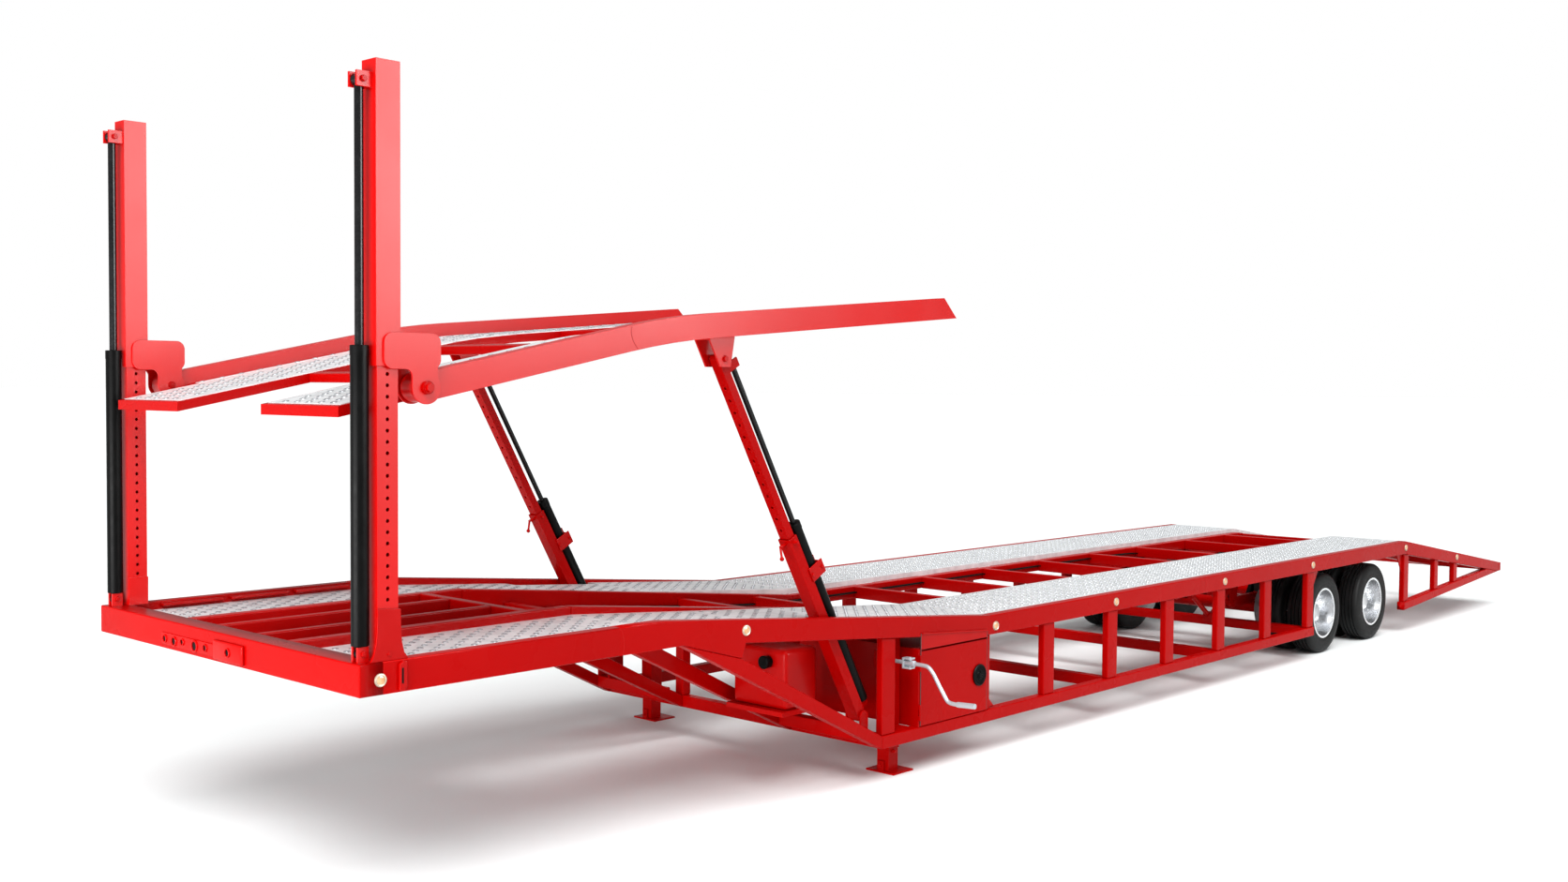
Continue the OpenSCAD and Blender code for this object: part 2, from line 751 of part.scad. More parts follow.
module rear_post_tubes() {
    color(red) both_sides() along_post() {
        difference() {
            union() {
                translate([-post_l / 2, -post_w / 2, 0]) cube([post_l, post_w, post_len]);
                rotate([90, 0, 0]) cylinder(r = post_l / 2, h = post_w, center = true, $fn = 48);
            }
            translate([-post_l / 2 + 5, -post_w / 2 + 5, 60]) cube([post_l - 10, post_w - 10, post_len]);
            rotate([90, 0, 0]) cylinder(r = 17, h = post_w + 2, center = true, $fn = 48);
        }
        // the clamp round the barrel
        difference() {
            translate([-jack_offset - 52, -6, 1020]) cube([jack_offset + 53 - post_l / 2, 12, 70]);
            translate([-jack_offset, 0, 1019]) cylinder(r = barrel_r, h = 72, $fn = 64);
        }
        translate([-jack_offset - 20, -20, 20]) cube([jack_offset + 20 - post_l / 2 + 1, 40, 40]);
    }
}

module rear_post_barrels() {
    color([0.06, 0.06, 0.06]) both_sides() along_post()
        translate([-jack_offset, 0, 60]) barrel(barrel_r, rod_r - 4, 1280);
}

module rear_post_inners() {
    foot = post_len - 170;
    color(red) both_sides() along_post() {
        difference() {
            translate([-inner_post_l / 2, -inner_post_w / 2, foot])
                cube([inner_post_l, inner_post_w, post_span - foot]);
            for (i = [0:12])
                translate([0, 0, post_len + 60 + i * 78]) rotate([0, 90, 0])
                    cylinder(r = hole_r, h = inner_post_l + 2, center = true, $fn = 32);
        }
        rotate([90, 0, 0]) translate([0, post_span, 0])
            cylinder(r = inner_post_l / 2, h = inner_post_w, center = true, $fn = 48);
        for (y = [-32, 20]) translate([-jack_offset - 26, y, post_span - 100])
            cube([jack_offset + 27 - inner_post_l / 2, 12, 52]);
    }
}

module rear_post_rods() {
    foot = 985;
    color([0.06, 0.06, 0.06]) both_sides() along_post() translate([-jack_offset, 0, 0]) {
        translate([0, 0, foot]) cylinder(r = rod_r - 4, h = post_span - 74 - foot, $fn = 48);
        translate([0, 0, post_span - 74]) rotate([90, 0, 0])
            cylinder(r = 24, h = 38, center = true, $fn = 48);
    }
}

// a pair of rims on one hub, turned about the axle
module wheel(x, side) {
    b = stub_r + 4;
    w = twin_pitch / 2;
    lip = tyre_w / 2 - 6;
    color([0.8, 0.8, 0.82]) translate([x, 0, tyre_r]) mirror([0, side < 0 ? 1 : 0, 0])
        translate([0, tyre_y - w, 0]) rotate([-90, 0, 0]) rotate_extrude($fn = 96) polygon([
            [b, -30], [105, -30], [112, -12], [165, -12], [rim_r - 22, -60], [rim_r - 12, -w - lip],
            [rim_r + 8, -w - lip], [rim_r, -w - lip + 16], [rim_r, w + lip - 16], [rim_r + 8, w + lip],
            [rim_r - 10, w + lip], [rim_r - 26, 70], [165, 12], [112, 12], [105, 40], [84, 60], [80, 140],
            [0, 145], [0, 130], [b, 130]
        ]);
}

// two tyres side by side
module tyre_pair(x, side) {
    w = tyre_w / 2;
    color([0.05, 0.05, 0.05]) translate([x, 0, tyre_r]) mirror([0, side < 0 ? 1 : 0, 0])
        for (y = [tyre_y, tyre_y - twin_pitch])
            translate([0, y, 0]) rotate([-90, 0, 0]) rotate_extrude($fn = 96)
            polygon([
                [rim_r, -w + 24], [rim_r + 12, -w + 6], [rim_r + 45, -w], [tyre_r - 60, -w],
                [tyre_r - 15, -w + 14], [tyre_r, -w + 34], [tyre_r, w - 34], [tyre_r - 15, w - 14],
                [tyre_r - 60, w], [rim_r + 45, w], [rim_r + 12, w - 6], [rim_r, w - 24]
            ]);
}

place() {
    front_beam();
    neck_side_rails();
    gooseneck_sides();
    deck_side_rails();
    lower_side_rails();
    beavertail_rails();
    truss_uprights();
    neck_braces();
    inner_rails();
    crossmembers();
    lower_crossmembers();
    runways();
    rear_bar();
    coupler();
    toolbox();
    toolbox_door();
    landing_legs();
    landing_feet();
    landing_crank();
    axle_beams();
    suspension_hangers();
    trailing_arms();
    air_springs();
    marker_lights();
    tail_lights();
    mast_posts();
    mast_barrels();
    post_anchors();
    mast_sleeves();
    mast_rods();
    deck_front_pins();
    upper_deck_rails();
    upper_deck_frames();
    upper_deck_runways();
    rear_post_tubes();
    rear_post_barrels();
    rear_post_inners();
    rear_post_rods();
    wheel(axle_x, 1);  // wheel_front_left
    tyre_pair(axle_x, 1);  // tyres_front_left
    wheel(axle_x, -1);  // wheel_front_right
    tyre_pair(axle_x, -1);  // tyres_front_right
    wheel(axle_x - axle_pitch, 1);  // wheel_rear_left
    tyre_pair(axle_x - axle_pitch, 1);  // tyres_rear_left
    wheel(axle_x - axle_pitch, -1);  // wheel_rear_right
    tyre_pair(axle_x - axle_pitch, -1);  // tyres_rear_right
}
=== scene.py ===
# %% [markdown]
# # A car transporter semi-trailer
# The steel frame, the lifting deck and the wheels come from a CAD model, already
# in their places. This lesson gives the trailer its looks: rounded tube edges,
# enamel, galvanised treads, tyres, rims, bolts, lights and hydraulic fittings.
# Everything is in metres. +X points to the tractor and +Y to the trailer's left.

# %% Load the frame
import json
import math

import bpy
from mathutils import Matrix, Vector

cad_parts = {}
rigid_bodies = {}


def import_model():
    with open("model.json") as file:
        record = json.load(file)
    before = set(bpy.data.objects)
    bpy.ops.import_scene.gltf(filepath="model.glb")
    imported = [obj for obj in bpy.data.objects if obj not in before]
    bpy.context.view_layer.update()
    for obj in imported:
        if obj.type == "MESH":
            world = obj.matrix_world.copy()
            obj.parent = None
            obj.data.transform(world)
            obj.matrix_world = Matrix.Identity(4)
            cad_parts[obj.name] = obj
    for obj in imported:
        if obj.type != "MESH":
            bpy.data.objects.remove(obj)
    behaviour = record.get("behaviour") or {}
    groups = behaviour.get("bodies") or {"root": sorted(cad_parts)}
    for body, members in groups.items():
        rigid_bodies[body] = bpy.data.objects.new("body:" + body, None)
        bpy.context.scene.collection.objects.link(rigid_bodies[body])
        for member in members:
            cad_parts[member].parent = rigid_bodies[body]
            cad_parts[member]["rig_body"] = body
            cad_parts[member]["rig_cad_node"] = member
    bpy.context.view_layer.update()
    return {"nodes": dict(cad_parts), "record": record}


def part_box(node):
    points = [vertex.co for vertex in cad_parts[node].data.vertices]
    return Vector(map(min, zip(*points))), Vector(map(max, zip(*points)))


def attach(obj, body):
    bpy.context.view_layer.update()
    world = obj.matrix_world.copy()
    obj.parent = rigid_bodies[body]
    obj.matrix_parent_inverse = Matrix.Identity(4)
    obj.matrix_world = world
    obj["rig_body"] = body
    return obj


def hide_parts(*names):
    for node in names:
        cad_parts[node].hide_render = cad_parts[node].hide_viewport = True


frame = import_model()
nodes = frame["nodes"]

# %% [markdown]
# ## Measuring from the trailer
# A builder measures a trailer from its front face backwards and from the ground
# up. `at` turns such a measure into a place in the scene, so a light 0.1 m behind
# the front is written as it would be on a drawing.

# %% Measures
front_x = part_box("front_beam")[1].x
ground_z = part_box("tyres_front_left")[0].z
half_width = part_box("front_beam")[1].y


def at(back, left, up):
    """A place: metres behind the front face, left of the middle, above the ground."""
    return Vector((front_x - back, left, ground_z + up))


print("half width", round(half_width, 4), "ground at", round(ground_z, 4))

# %% [markdown]
# ## Camera
# The trailer is seen from its front left corner, from a little above the neck.
# A moderately wide lens close to the masts makes them tall and the tail small.

# %% Camera
camera_place = Vector((4.5902, 7.2108, 1.447))
yaw, pitch, roll = (math.radians(a) for a in (222.7995, -2.07, 0.4162))
forward = Vector((math.cos(pitch) * math.cos(yaw), math.cos(pitch) * math.sin(yaw), math.sin(pitch)))
level = forward.cross(Vector((0, 0, 1))).normalized()
upright = level.cross(forward)
right = level * math.cos(roll) + upright * math.sin(roll)
upward = upright * math.cos(roll) - level * math.sin(roll)

bpy.ops.object.camera_add(location=camera_place)
camera = bpy.context.object
camera.name = "camera"
camera.data.lens = 35.63
camera.data.sensor_width = 36
camera.data.clip_end = 400
turn = [[right[i], upward[i], -forward[i]] for i in range(3)]
camera.rotation_euler = Matrix(turn).to_euler()
bpy.context.scene.camera = camera
print("camera at", tuple(round(v, 2) for v in camera_place))

# %% [markdown]
# ## Studio
# A white room: a wide pale floor, an even white surround and soft lamps.
# Glossy paint shows its surroundings, so a large card of light draws the long
# pale reflections on the masts and rails; it lights nothing else. The overhead
# lamp is broad, so the shadow under the trailer fades out slowly. A low lamp in
# front lifts the neck's underside.

# %% Floor and light
def clear_selection():
    if bpy.context.object and bpy.context.object.mode != "OBJECT":
        bpy.ops.object.mode_set(mode="OBJECT")
    bpy.ops.object.select_all(action="DESELECT")


def add_lamp(name, place, aim, size, watts):
    clear_selection()
    bpy.ops.object.light_add(type="AREA", location=place)
    lamp = bpy.context.object
    lamp.name = name
    lamp.data.shape = "RECTANGLE"
    lamp.data.size, lamp.data.size_y = size
    lamp.data.energy = watts
    lamp.rotation_euler = (Vector(aim) - Vector(place)).to_track_quat("-Z", "Y").to_euler()
    return lamp


bpy.context.scene.view_settings.view_transform = "Standard"
world = bpy.data.worlds.new("white_room")
bpy.context.scene.world = world
world.use_nodes = True
surround = world.node_tree.nodes["Background"]
surround.inputs["Color"].default_value = (1, 1, 1, 1)
seen = world.node_tree.nodes.new("ShaderNodeLightPath")
strength = world.node_tree.nodes.new("ShaderNodeMapRange")
strength.inputs["To Min"].default_value = 0.42
strength.inputs["To Max"].default_value = 1.0
world.node_tree.links.new(seen.outputs["Is Camera Ray"], strength.inputs["Value"])
world.node_tree.links.new(strength.outputs["Result"], surround.inputs["Strength"])

clear_selection()
bpy.ops.mesh.primitive_plane_add(size=900, location=(0, 0, ground_z))
floor = bpy.context.object
floor.name = "floor"

clear_selection()
bpy.ops.object.light_add(type="SUN", location=(0, 0, 10))
overhead = bpy.context.object
overhead.name = "overhead_lamp"
overhead.data.energy = 3.7
overhead.data.angle = math.radians(42)
overhead.rotation_euler = (math.radians(-25), math.radians(26), 0)
add_lamp("side_lamp", (-2.0, 11.0, 3.2), (0.5, 1.3, 0.8), (4, 3), 60)
add_lamp("front_fill", (6.0, 1.2, 0.3), (-0.6, 0.6, ground_z), (5, 1.2), 380)
gloss_card = add_lamp("gloss_card", (-4.9, 9.0, 4.3), (0.8, 1.3, 2.0), (6.5, 5.0), 1900)
gloss_card.visible_diffuse = False

# %% [markdown]
# ## A helper for materials
# Every finish here is made from noise read in object coordinates: a slow noise
# that shifts the colour, a finer one for how dull the surface is, and the finest
# one as bumps. Constant settings go straight on the shader.

# %% Material helper
finishes = {}


def finish(name, colours, roughness, tone_scale, grain_scale, bump, bump_scale, **settings):
    """A noise-driven finish: two colours, a range of roughness and a bump height."""
    material = bpy.data.materials.new(name)
    material.use_nodes = True
    tree = material.node_tree
    shader = tree.nodes["Principled BSDF"]
    place = tree.nodes.new("ShaderNodeTexCoord")

    def noise(scale, detail):
        node = tree.nodes.new("ShaderNodeTexNoise")
        node.inputs["Scale"].default_value = scale
        node.inputs["Detail"].default_value = detail
        tree.links.new(place.outputs["Object"], node.inputs["Vector"])
        return node.outputs["Fac"]

    tone = tree.nodes.new("ShaderNodeValToRGB")
    tone.color_ramp.elements[0].position = 0.35
    tone.color_ramp.elements[1].position = 0.65
    for stop, colour in zip(tone.color_ramp.elements, colours):
        stop.color = (*colour, 1)
    tree.links.new(noise(tone_scale, 4), tone.inputs["Fac"])
    tree.links.new(tone.outputs["Color"], shader.inputs["Base Color"])

    dull = tree.nodes.new("ShaderNodeMapRange")
    dull.inputs["From Min"].default_value = 0.3
    dull.inputs["From Max"].default_value = 0.7
    dull.inputs["To Min"].default_value, dull.inputs["To Max"].default_value = roughness
    tree.links.new(noise(grain_scale, 3), dull.inputs["Value"])
    tree.links.new(dull.outputs["Result"], shader.inputs["Roughness"])

    bumps = tree.nodes.new("ShaderNodeBump")
    bumps.inputs["Strength"].default_value = 1.0
    bumps.inputs["Distance"].default_value = bump
    tree.links.new(noise(bump_scale, 2), bumps.inputs["Height"])
    tree.links.new(bumps.outputs["Normal"], shader.inputs["Normal"])
    for socket, value in settings.items():
        shader.inputs[socket.replace("_", " ")].default_value = value
    finishes[name] = material


# %% [markdown]
# ## Finishes
# The frame is sprayed with a glossy enamel: a clear coat over a strong red, with
# the slight ripple called orange peel. Cylinders are satin black, rods are dark
# and smooth, the treads are hot-dip galvanised, which leaves pale patches, and
# the rims are polished aluminium.

# %% Finishes
finish(
    "red_paint", ((0.35, 0.0004, 0.0003), (0.4, 0.0006, 0.0005)), (0.24, 0.32), 0.7, 3, 0.00003, 260,
    Specular_IOR_Level=0.035, Coat_Weight=0.03, Coat_Roughness=0.08)
finish(
    "red_plate_paint", ((0.38, 0.0006, 0.0005), (0.43, 0.0008, 0.0006)), (0.28, 0.4), 3, 12, 0.00005, 300,
    Specular_IOR_Level=0.07, Coat_Weight=0.05, Coat_Roughness=0.1)
# A glossier copy of the red enamel for the masts and the upper deck's rails; its brighter base colour is
# painted highlight.
finish(
    "red_gloss_paint_painted_highlight", ((0.5, 0.001, 0.001), (0.56, 0.0015, 0.0012)), (0.3, 0.38), 0.7, 3, 0.00003, 260,
    Specular_IOR_Level=0.15, Coat_Weight=0.08, Coat_Roughness=0.16)
finish(
    "black_paint", ((0.0012, 0.0012, 0.0012), (0.003, 0.003, 0.003)), (0.28, 0.42), 5, 20, 0.0001, 300,
    Specular_IOR_Level=0.07)
finish(
    "rod_steel", ((0.004, 0.004, 0.0045), (0.008, 0.008, 0.0085)), (0.18, 0.3), 8, 60, 0.00003, 500,
    Specular_IOR_Level=0.22)
finish(
    "galvanised_tread", ((0.64, 0.66, 0.67), (0.8, 0.82, 0.83)), (0.3, 0.5), 14, 45, 0.0004, 90,
    Metallic=0.2)
finish(
    "tread_teeth", ((0.3, 0.31, 0.33), (0.46, 0.48, 0.5)), (0.22, 0.4), 22, 50, 0.0003, 160,
    Metallic=0.5)
# Near black for the floor of a tooth's hole: painted shade, since the hole is not cut through.
finish(
    "tread_hole_painted_shade", ((0.02, 0.02, 0.022), (0.05, 0.05, 0.055)), (0.6, 0.8), 40, 80, 0.0003, 200)
finish(
    "bare_steel", ((0.22, 0.22, 0.23), (0.36, 0.36, 0.37)), (0.35, 0.6), 12, 50, 0.0003, 160,
    Metallic=0.9)
finish(
    "zinc_plate", ((0.5, 0.51, 0.53), (0.68, 0.69, 0.7)), (0.28, 0.45), 15, 60, 0.0002, 240,
    Metallic=0.85)
finish(
    "lamp_ring", ((0.46, 0.38, 0.28), (0.56, 0.47, 0.36)), (0.3, 0.45), 20, 60, 0.0002, 240,
    Metallic=0.3)
finish(
    "crank_steel", ((0.36, 0.4, 0.43), (0.48, 0.52, 0.55)), (0.3, 0.45), 12, 60, 0.0002, 240,
    Metallic=0.45)
finish(
    "spring_rubber", ((0.012, 0.012, 0.012), (0.025, 0.025, 0.025)), (0.6, 0.8), 9, 50, 0.0004, 160)
finish(
    "tyre_rubber", ((0.004, 0.004, 0.004), (0.008, 0.008, 0.008)), (0.5, 0.65), 7, 60, 0.0004, 220,
    Specular_IOR_Level=0.2)
finish(
    "polished_aluminium", ((0.74, 0.75, 0.77), (0.87, 0.88, 0.89)), (0.14, 0.28), 6, 70, 0.00008, 260,
    Metallic=1.0)
finish(
    "amber_lens", ((0.62, 0.3, 0.12), (0.74, 0.44, 0.24)), (0.12, 0.2), 40, 80, 0.0002, 400,
    Coat_Weight=0.35, Coat_Roughness=0.05)
finish(
    "red_lens", ((0.4, 0.004, 0.004), (0.55, 0.01, 0.01)), (0.08, 0.16), 40, 80, 0.0002, 400,
    Coat_Weight=0.8, Coat_Roughness=0.03)
finish(
    "pale_floor", ((0.83, 0.86, 0.86), (0.85, 0.88, 0.88)), (0.8, 0.9), 0.4, 4, 0.0001, 30)
floor.data.materials.append(finishes["pale_floor"])
print(len(finishes), "finishes")

# %% [markdown]
# ## Rounded edges for the CAD pieces
# No steel tube has knife edges: its corners are rolled, and that is where light
# catches. The CAD pieces are exact but sharp, so each is copied, its loose
# triangles are merged into whole faces, and a Bevel modifier rounds the corners.
# Weighted normals then keep the large faces flat and the corners soft.

# %% Softening helper
def only(piece):
    clear_selection()
    piece.select_set(True)
    bpy.context.view_layer.objects.active = piece


def in_edit(piece, *steps):
    """Runs edit-mode steps on everything in the piece."""
    only(piece)
    bpy.ops.object.mode_set(mode="EDIT")
    bpy.ops.mesh.select_all(action="SELECT")
    for step in steps:
        step()
    bpy.ops.object.mode_set(mode="OBJECT")


def apply_modifier(piece, kind, **settings):
    only(piece)
    modifier = piece.modifiers.new(kind.lower(), kind)
    for key, value in settings.items():
        setattr(modifier, key, value)
    bpy.ops.object.modifier_apply(modifier=modifier.name)


rolled_corner = math.radians(31)      # tubes drawn with flatter turns than this are round


def mark_corners(piece, seams):
    """Marks the corners to round, and leaves the ends that butt on another piece."""
    mesh = piece.data
    faces_at = {}
    for face in mesh.polygons:
        for key in face.edge_keys:
            faces_at.setdefault(key, []).append(face.normal)
    marks = mesh.attributes.new("bevel_weight_edge", "FLOAT", "EDGE")
    for edge in mesh.edges:
        normals = faces_at.get(tuple(sorted(edge.vertices)), [])
        corner = len(normals) == 2 and normals[0].angle(normals[1], 0) > rolled_corner
        ends = [mesh.vertices[v].co.x for v in edge.vertices]
        butts = any(all(abs(end - seam) < 0.001 for end in ends) for seam in seams)
        marks.data[edge.index].value = 1.0 if corner and not butts else 0.0


def shade(piece, degrees):
    """Shades smooth, and keeps an edge sharp where it turns by more than the angle."""
    only(piece)
    bpy.ops.object.shade_smooth_by_angle(angle=math.radians(degrees))
    return piece


def round_edges(piece, width, segments=2, smooth=True, seams=()):
    if width and seams:
        mark_corners(piece, seams)
        apply_modifier(piece, "BEVEL", width=width, segments=segments, limit_method="WEIGHT",
                       use_clamp_overlap=True)
    elif width:
        apply_modifier(piece, "BEVEL", width=width, segments=segments, limit_method="ANGLE",
                       angle_limit=rolled_corner, use_clamp_overlap=True)
    only(piece)
    bpy.ops.object.shade_smooth()
    if smooth:
        apply_modifier(piece, "WEIGHTED_NORMAL", keep_sharp=True)


def copy_of_node(node, name):
    copy = nodes[node].copy()
    copy.data = nodes[node].data.copy()
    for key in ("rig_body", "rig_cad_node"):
        del copy[key]
    copy.parent = None
    copy.name = copy.data.name = name
    bpy.context.scene.collection.objects.link(copy)
    in_edit(
        copy, lambda: bpy.ops.mesh.remove_doubles(threshold=0.00002),
        lambda: bpy.ops.mesh.dissolve_limited(angle_limit=math.radians(0.5)))
    return copy


def body_of_node(node):
    return next(b for b, members in frame["record"]["behaviour"]["bodies"].items() if node in members)


slot_of = {part["node"]: part["material_slot"] for part in frame["record"]["subparts"]}


def soften(node, width, segments=2, seams=()):
    piece = copy_of_node(node, "soft_" + node)
    round_edges(piece, width, segments, seams=seams)
    piece.data.materials.clear()
    # The masts and the upper deck's rails take the glossier red, whose brighter colour is painted highlight.
    gloss_and_painted_highlight = node in ("mast_sleeves", "mast_posts", "upper_deck_rails")
    piece.data.materials.append(finishes["red_gloss_paint_painted_highlight" if gloss_and_painted_highlight else slot_of[node]])
    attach(piece, body_of_node(node))
    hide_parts(node)
    return piece


# %% [markdown]
# ## Which corners are how round
# A rolled tube has a corner of several millimetres, a cut plate one or two.
# Nodes whose shape is already round, or which are modelled anew below, are left
# out here and only take their finish.

# %% Soften the frame
tube_corner, plate_corner = 0.007, 0.0025
tubes = [
    "front_beam", "neck_side_rails", "gooseneck_sides", "deck_side_rails", "lower_side_rails",
    "beavertail_rails", "truss_uprights", "neck_braces", "inner_rails", "crossmembers",
    "lower_crossmembers", "rear_bar", "mast_posts", "mast_sleeves", "upper_deck_rails",
    "upper_deck_frames", "rear_post_tubes", "rear_post_inners"]
plates = [
    "toolbox", "toolbox_door", "landing_legs", "landing_feet", "suspension_hangers",
    "trailing_arms", "post_anchors", "mast_barrels", "rear_post_barrels", "mast_rods",
    "rear_post_rods", "deck_front_pins", "axle_beams", "coupler"]
thin = {"mast_sleeves": 0.004, "mast_posts": 0.003, "rear_post_tubes": 0.004,
        "rear_post_inners": 0.003, "upper_deck_rails": 0.005}
neck_stop, slope_stop, deck_stop, tail_stop = 1.80, 4.727, 11.829, 14.55
rail_lengths = ("front_beam", "neck_side_rails", "gooseneck_sides", "deck_side_rails", "beavertail_rails")
welded = [at(back, 0, 0).x for back in (0.12, 1.499, slope_stop, deck_stop)]
for node in tubes:
    soften(node, thin.get(node, tube_corner), seams=welded if node in rail_lengths else ())
for node in plates:
    soften(node, plate_corner)
runway_finish = nodes["runways"].data.materials
runway_finish.clear()
runway_finish.append(finishes["galvanised_tread"])
print("softened", len(tubes) + len(plates), "nodes")

# %% [markdown]
# ## Helpers for small parts
# Brackets start as a box and pins as a cylinder, each added at its size and place
# and then cut, inset or chamfered. Left and right parts are mirror images, so a
# part is modelled on the left and its copy is scaled by -1 across the trailer,
# which turns its faces inside out, so they are flipped back.

# %% Modelling helpers
def settle(piece, name):
    """Moves the object's place into its mesh, and names it."""
    piece.name = piece.data.name = name
    only(piece)
    bpy.ops.object.transform_apply(location=True, rotation=True, scale=True)
    return piece


def bar(name, corner, other):
    """A box between two corners."""
    clear_selection()
    low = Vector(map(min, corner, other))
    high = Vector(map(max, corner, other))
    bpy.ops.mesh.primitive_cube_add(size=1, location=(low + high) / 2, scale=high - low)
    return settle(bpy.context.object, name)


def pin(name, start, end, radius, sides=32):
    """A round bar between two points."""
    clear_selection()
    run = end - start
    bpy.ops.mesh.primitive_cylinder_add(
        vertices=sides, radius=radius, depth=run.length, location=(start + end) / 2,
        rotation=run.to_track_quat("Z", "Y").to_euler())
    return settle(bpy.context.object, name)


def join(name, pieces):
    clear_selection()
    for piece in pieces:
        piece.select_set(True)
    bpy.context.view_layer.objects.active = pieces[0]
    if len(pieces) > 1:
        bpy.ops.object.join()
    piece = bpy.context.object
    piece.name = piece.data.name = name
    return piece


def duplicate(piece, name):
    copy = piece.copy()
    copy.data = piece.data.copy()
    copy.name = copy.data.name = name
    bpy.context.scene.collection.objects.link(copy)
    return copy


def moved(piece, name, shift):
    copy = duplicate(piece, name)
    in_edit(copy, lambda: bpy.ops.transform.translate(value=shift))
    return copy


def mirrored(piece, name):
    copy = duplicate(piece, name)
    only(copy)
    copy.scale = (1, -1, 1)
    bpy.ops.object.transform_apply(location=False, rotation=False, scale=True)
    in_edit(copy, lambda: bpy.ops.mesh.normals_make_consistent(inside=False))
    only(copy)
    return copy


def give(piece, body="chassis", look="red_plate_paint"):
    """Gives a piece its body and its finish."""
    piece.data.materials.clear()
    piece.data.materials.append(finishes[look])
    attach(piece, body)


def outline_plate(name, points, left, thickness):
    """A plate with a side outline of (back, up) points, its inner face at `left`."""
    clear_selection()
    bpy.ops.mesh.primitive_circle_add(vertices=len(points), radius=1, fill_type="NGON")
    piece = bpy.context.object
    for vertex, (back, up) in zip(piece.data.vertices, points):
        vertex.co = at(back, left, up)
    piece.name = piece.data.name = name
    in_edit(
        piece,
        lambda: bpy.ops.mesh.extrude_region_move(TRANSFORM_OT_translate={"value": (0, thickness, 0)}),
        lambda: bpy.ops.mesh.select_all(action="SELECT"),
        lambda: bpy.ops.mesh.normals_make_consistent(inside=False))
    return piece


def turned(name, profile, centre, axis, steps=48):
    """A lathe-turned part: (height, radius) points spun round the axis."""
    clear_selection()
    bpy.ops.mesh.primitive_plane_add(size=0.01)
    piece = bpy.context.object
    bpy.ops.object.mode_set(mode="EDIT")
    bpy.ops.mesh.select_mode(type="VERT")
    bpy.ops.mesh.select_all(action="SELECT")
    bpy.ops.mesh.merge(type="CENTER")
    bpy.ops.transform.translate(value=(profile[0][1], 0, profile[0][0]))
    for (h0, r0), (h1, r1) in zip(profile, profile[1:]):
        bpy.ops.mesh.extrude_region_move(TRANSFORM_OT_translate={"value": (r1 - r0, 0, h1 - h0)})
    bpy.ops.mesh.select_all(action="SELECT")
    bpy.ops.mesh.spin(steps=steps, angle=math.tau, center=(0, 0, 0), axis=(0, 0, 1))
    bpy.ops.mesh.select_all(action="SELECT")
    bpy.ops.mesh.remove_doubles(threshold=0.00001)
    bpy.ops.mesh.normals_make_consistent(inside=False)
    bpy.ops.object.mode_set(mode="OBJECT")
    piece.location = centre
    piece.rotation_euler = Vector(axis).to_track_quat("Z", "Y").to_euler()
    return settle(piece, name)


def hex_bolt(name, centre, axis, size):
    """A washer and a hexagonal head that stands along the axis."""
    axis = Vector(axis).normalized()
    washer = pin("washer", centre, centre + axis * size * 0.18, size * 1.15, 24)
    head = pin("head", centre + axis * size * 0.18, centre + axis * size * 0.8, size, 6)
    bolt = join(name, [washer, head])
    round_edges(bolt, size * 0.08, 1, smooth=False)
    return shade(bolt, 25)


def both_sides(piece, name, body="chassis", look="red_plate_paint"):
    """The left part and its mirror image on the right."""
    twin = mirrored(piece, name + "_right")
    piece.name = piece.data.name = name + "_left"
    give(piece, body, look)
    give(twin, body, look)


# %% [markdown]
# ## Tread planks
# The runways are galvanised planks with punched teeth: where a hole is punched,
# its rim is pushed up into a ring that grips a tyre. One ring is modelled from a
# short cylinder whose top is inset and pushed down, then array modifiers repeat
# it in rows. The neck and the upper deck have few large teeth, and the long deck
# has close rows of small ones.

# %% One tooth
def tooth(name, place, tangent, radius, height, sides=8):
    """A raised ring whose sunk floor is painted near black as shade for its hole, standing square to the
    plank.
    """
    normal = Vector((-tangent.z, 0, tangent.x)).normalized()
    if normal.z < 0:
        normal = -normal
    clear_selection()
    bpy.ops.mesh.primitive_cylinder_add(
        vertices=sides, radius=radius, depth=height, location=(0, 0, height / 2))
    piece = bpy.context.object
    bpy.ops.object.mode_set(mode="EDIT")
    bpy.ops.mesh.select_mode(type="FACE")
    bpy.ops.mesh.select_all(action="DESELECT")
    bpy.ops.object.mode_set(mode="OBJECT")
    for face in piece.data.polygons:
        face.select = face.normal.z > 0.9
    bpy.ops.object.mode_set(mode="EDIT")
    bpy.ops.transform.resize(value=(0.72, 0.72, 1))
    bpy.ops.mesh.inset(thickness=radius * 0.22)
    bpy.ops.mesh.extrude_region_move(TRANSFORM_OT_translate={"value": (0, 0, -height * 0.8)})
    bpy.ops.object.mode_set(mode="OBJECT")
    piece.data.materials.append(finishes["tread_teeth"])
    piece.data.materials.append(finishes["tread_hole_painted_shade"])
    # The floor of the hole is painted near black: painted shade for the open hole.
    floor_height = height * 0.3
    for face in piece.data.polygons:
        if face.normal.z > 0.9 and face.center.z < floor_height:
            face.material_index = 1
    piece.rotation_euler = normal.to_track_quat("Z", "Y").to_euler()
    piece.location = place + normal * 0.0002
    return settle(piece, name)


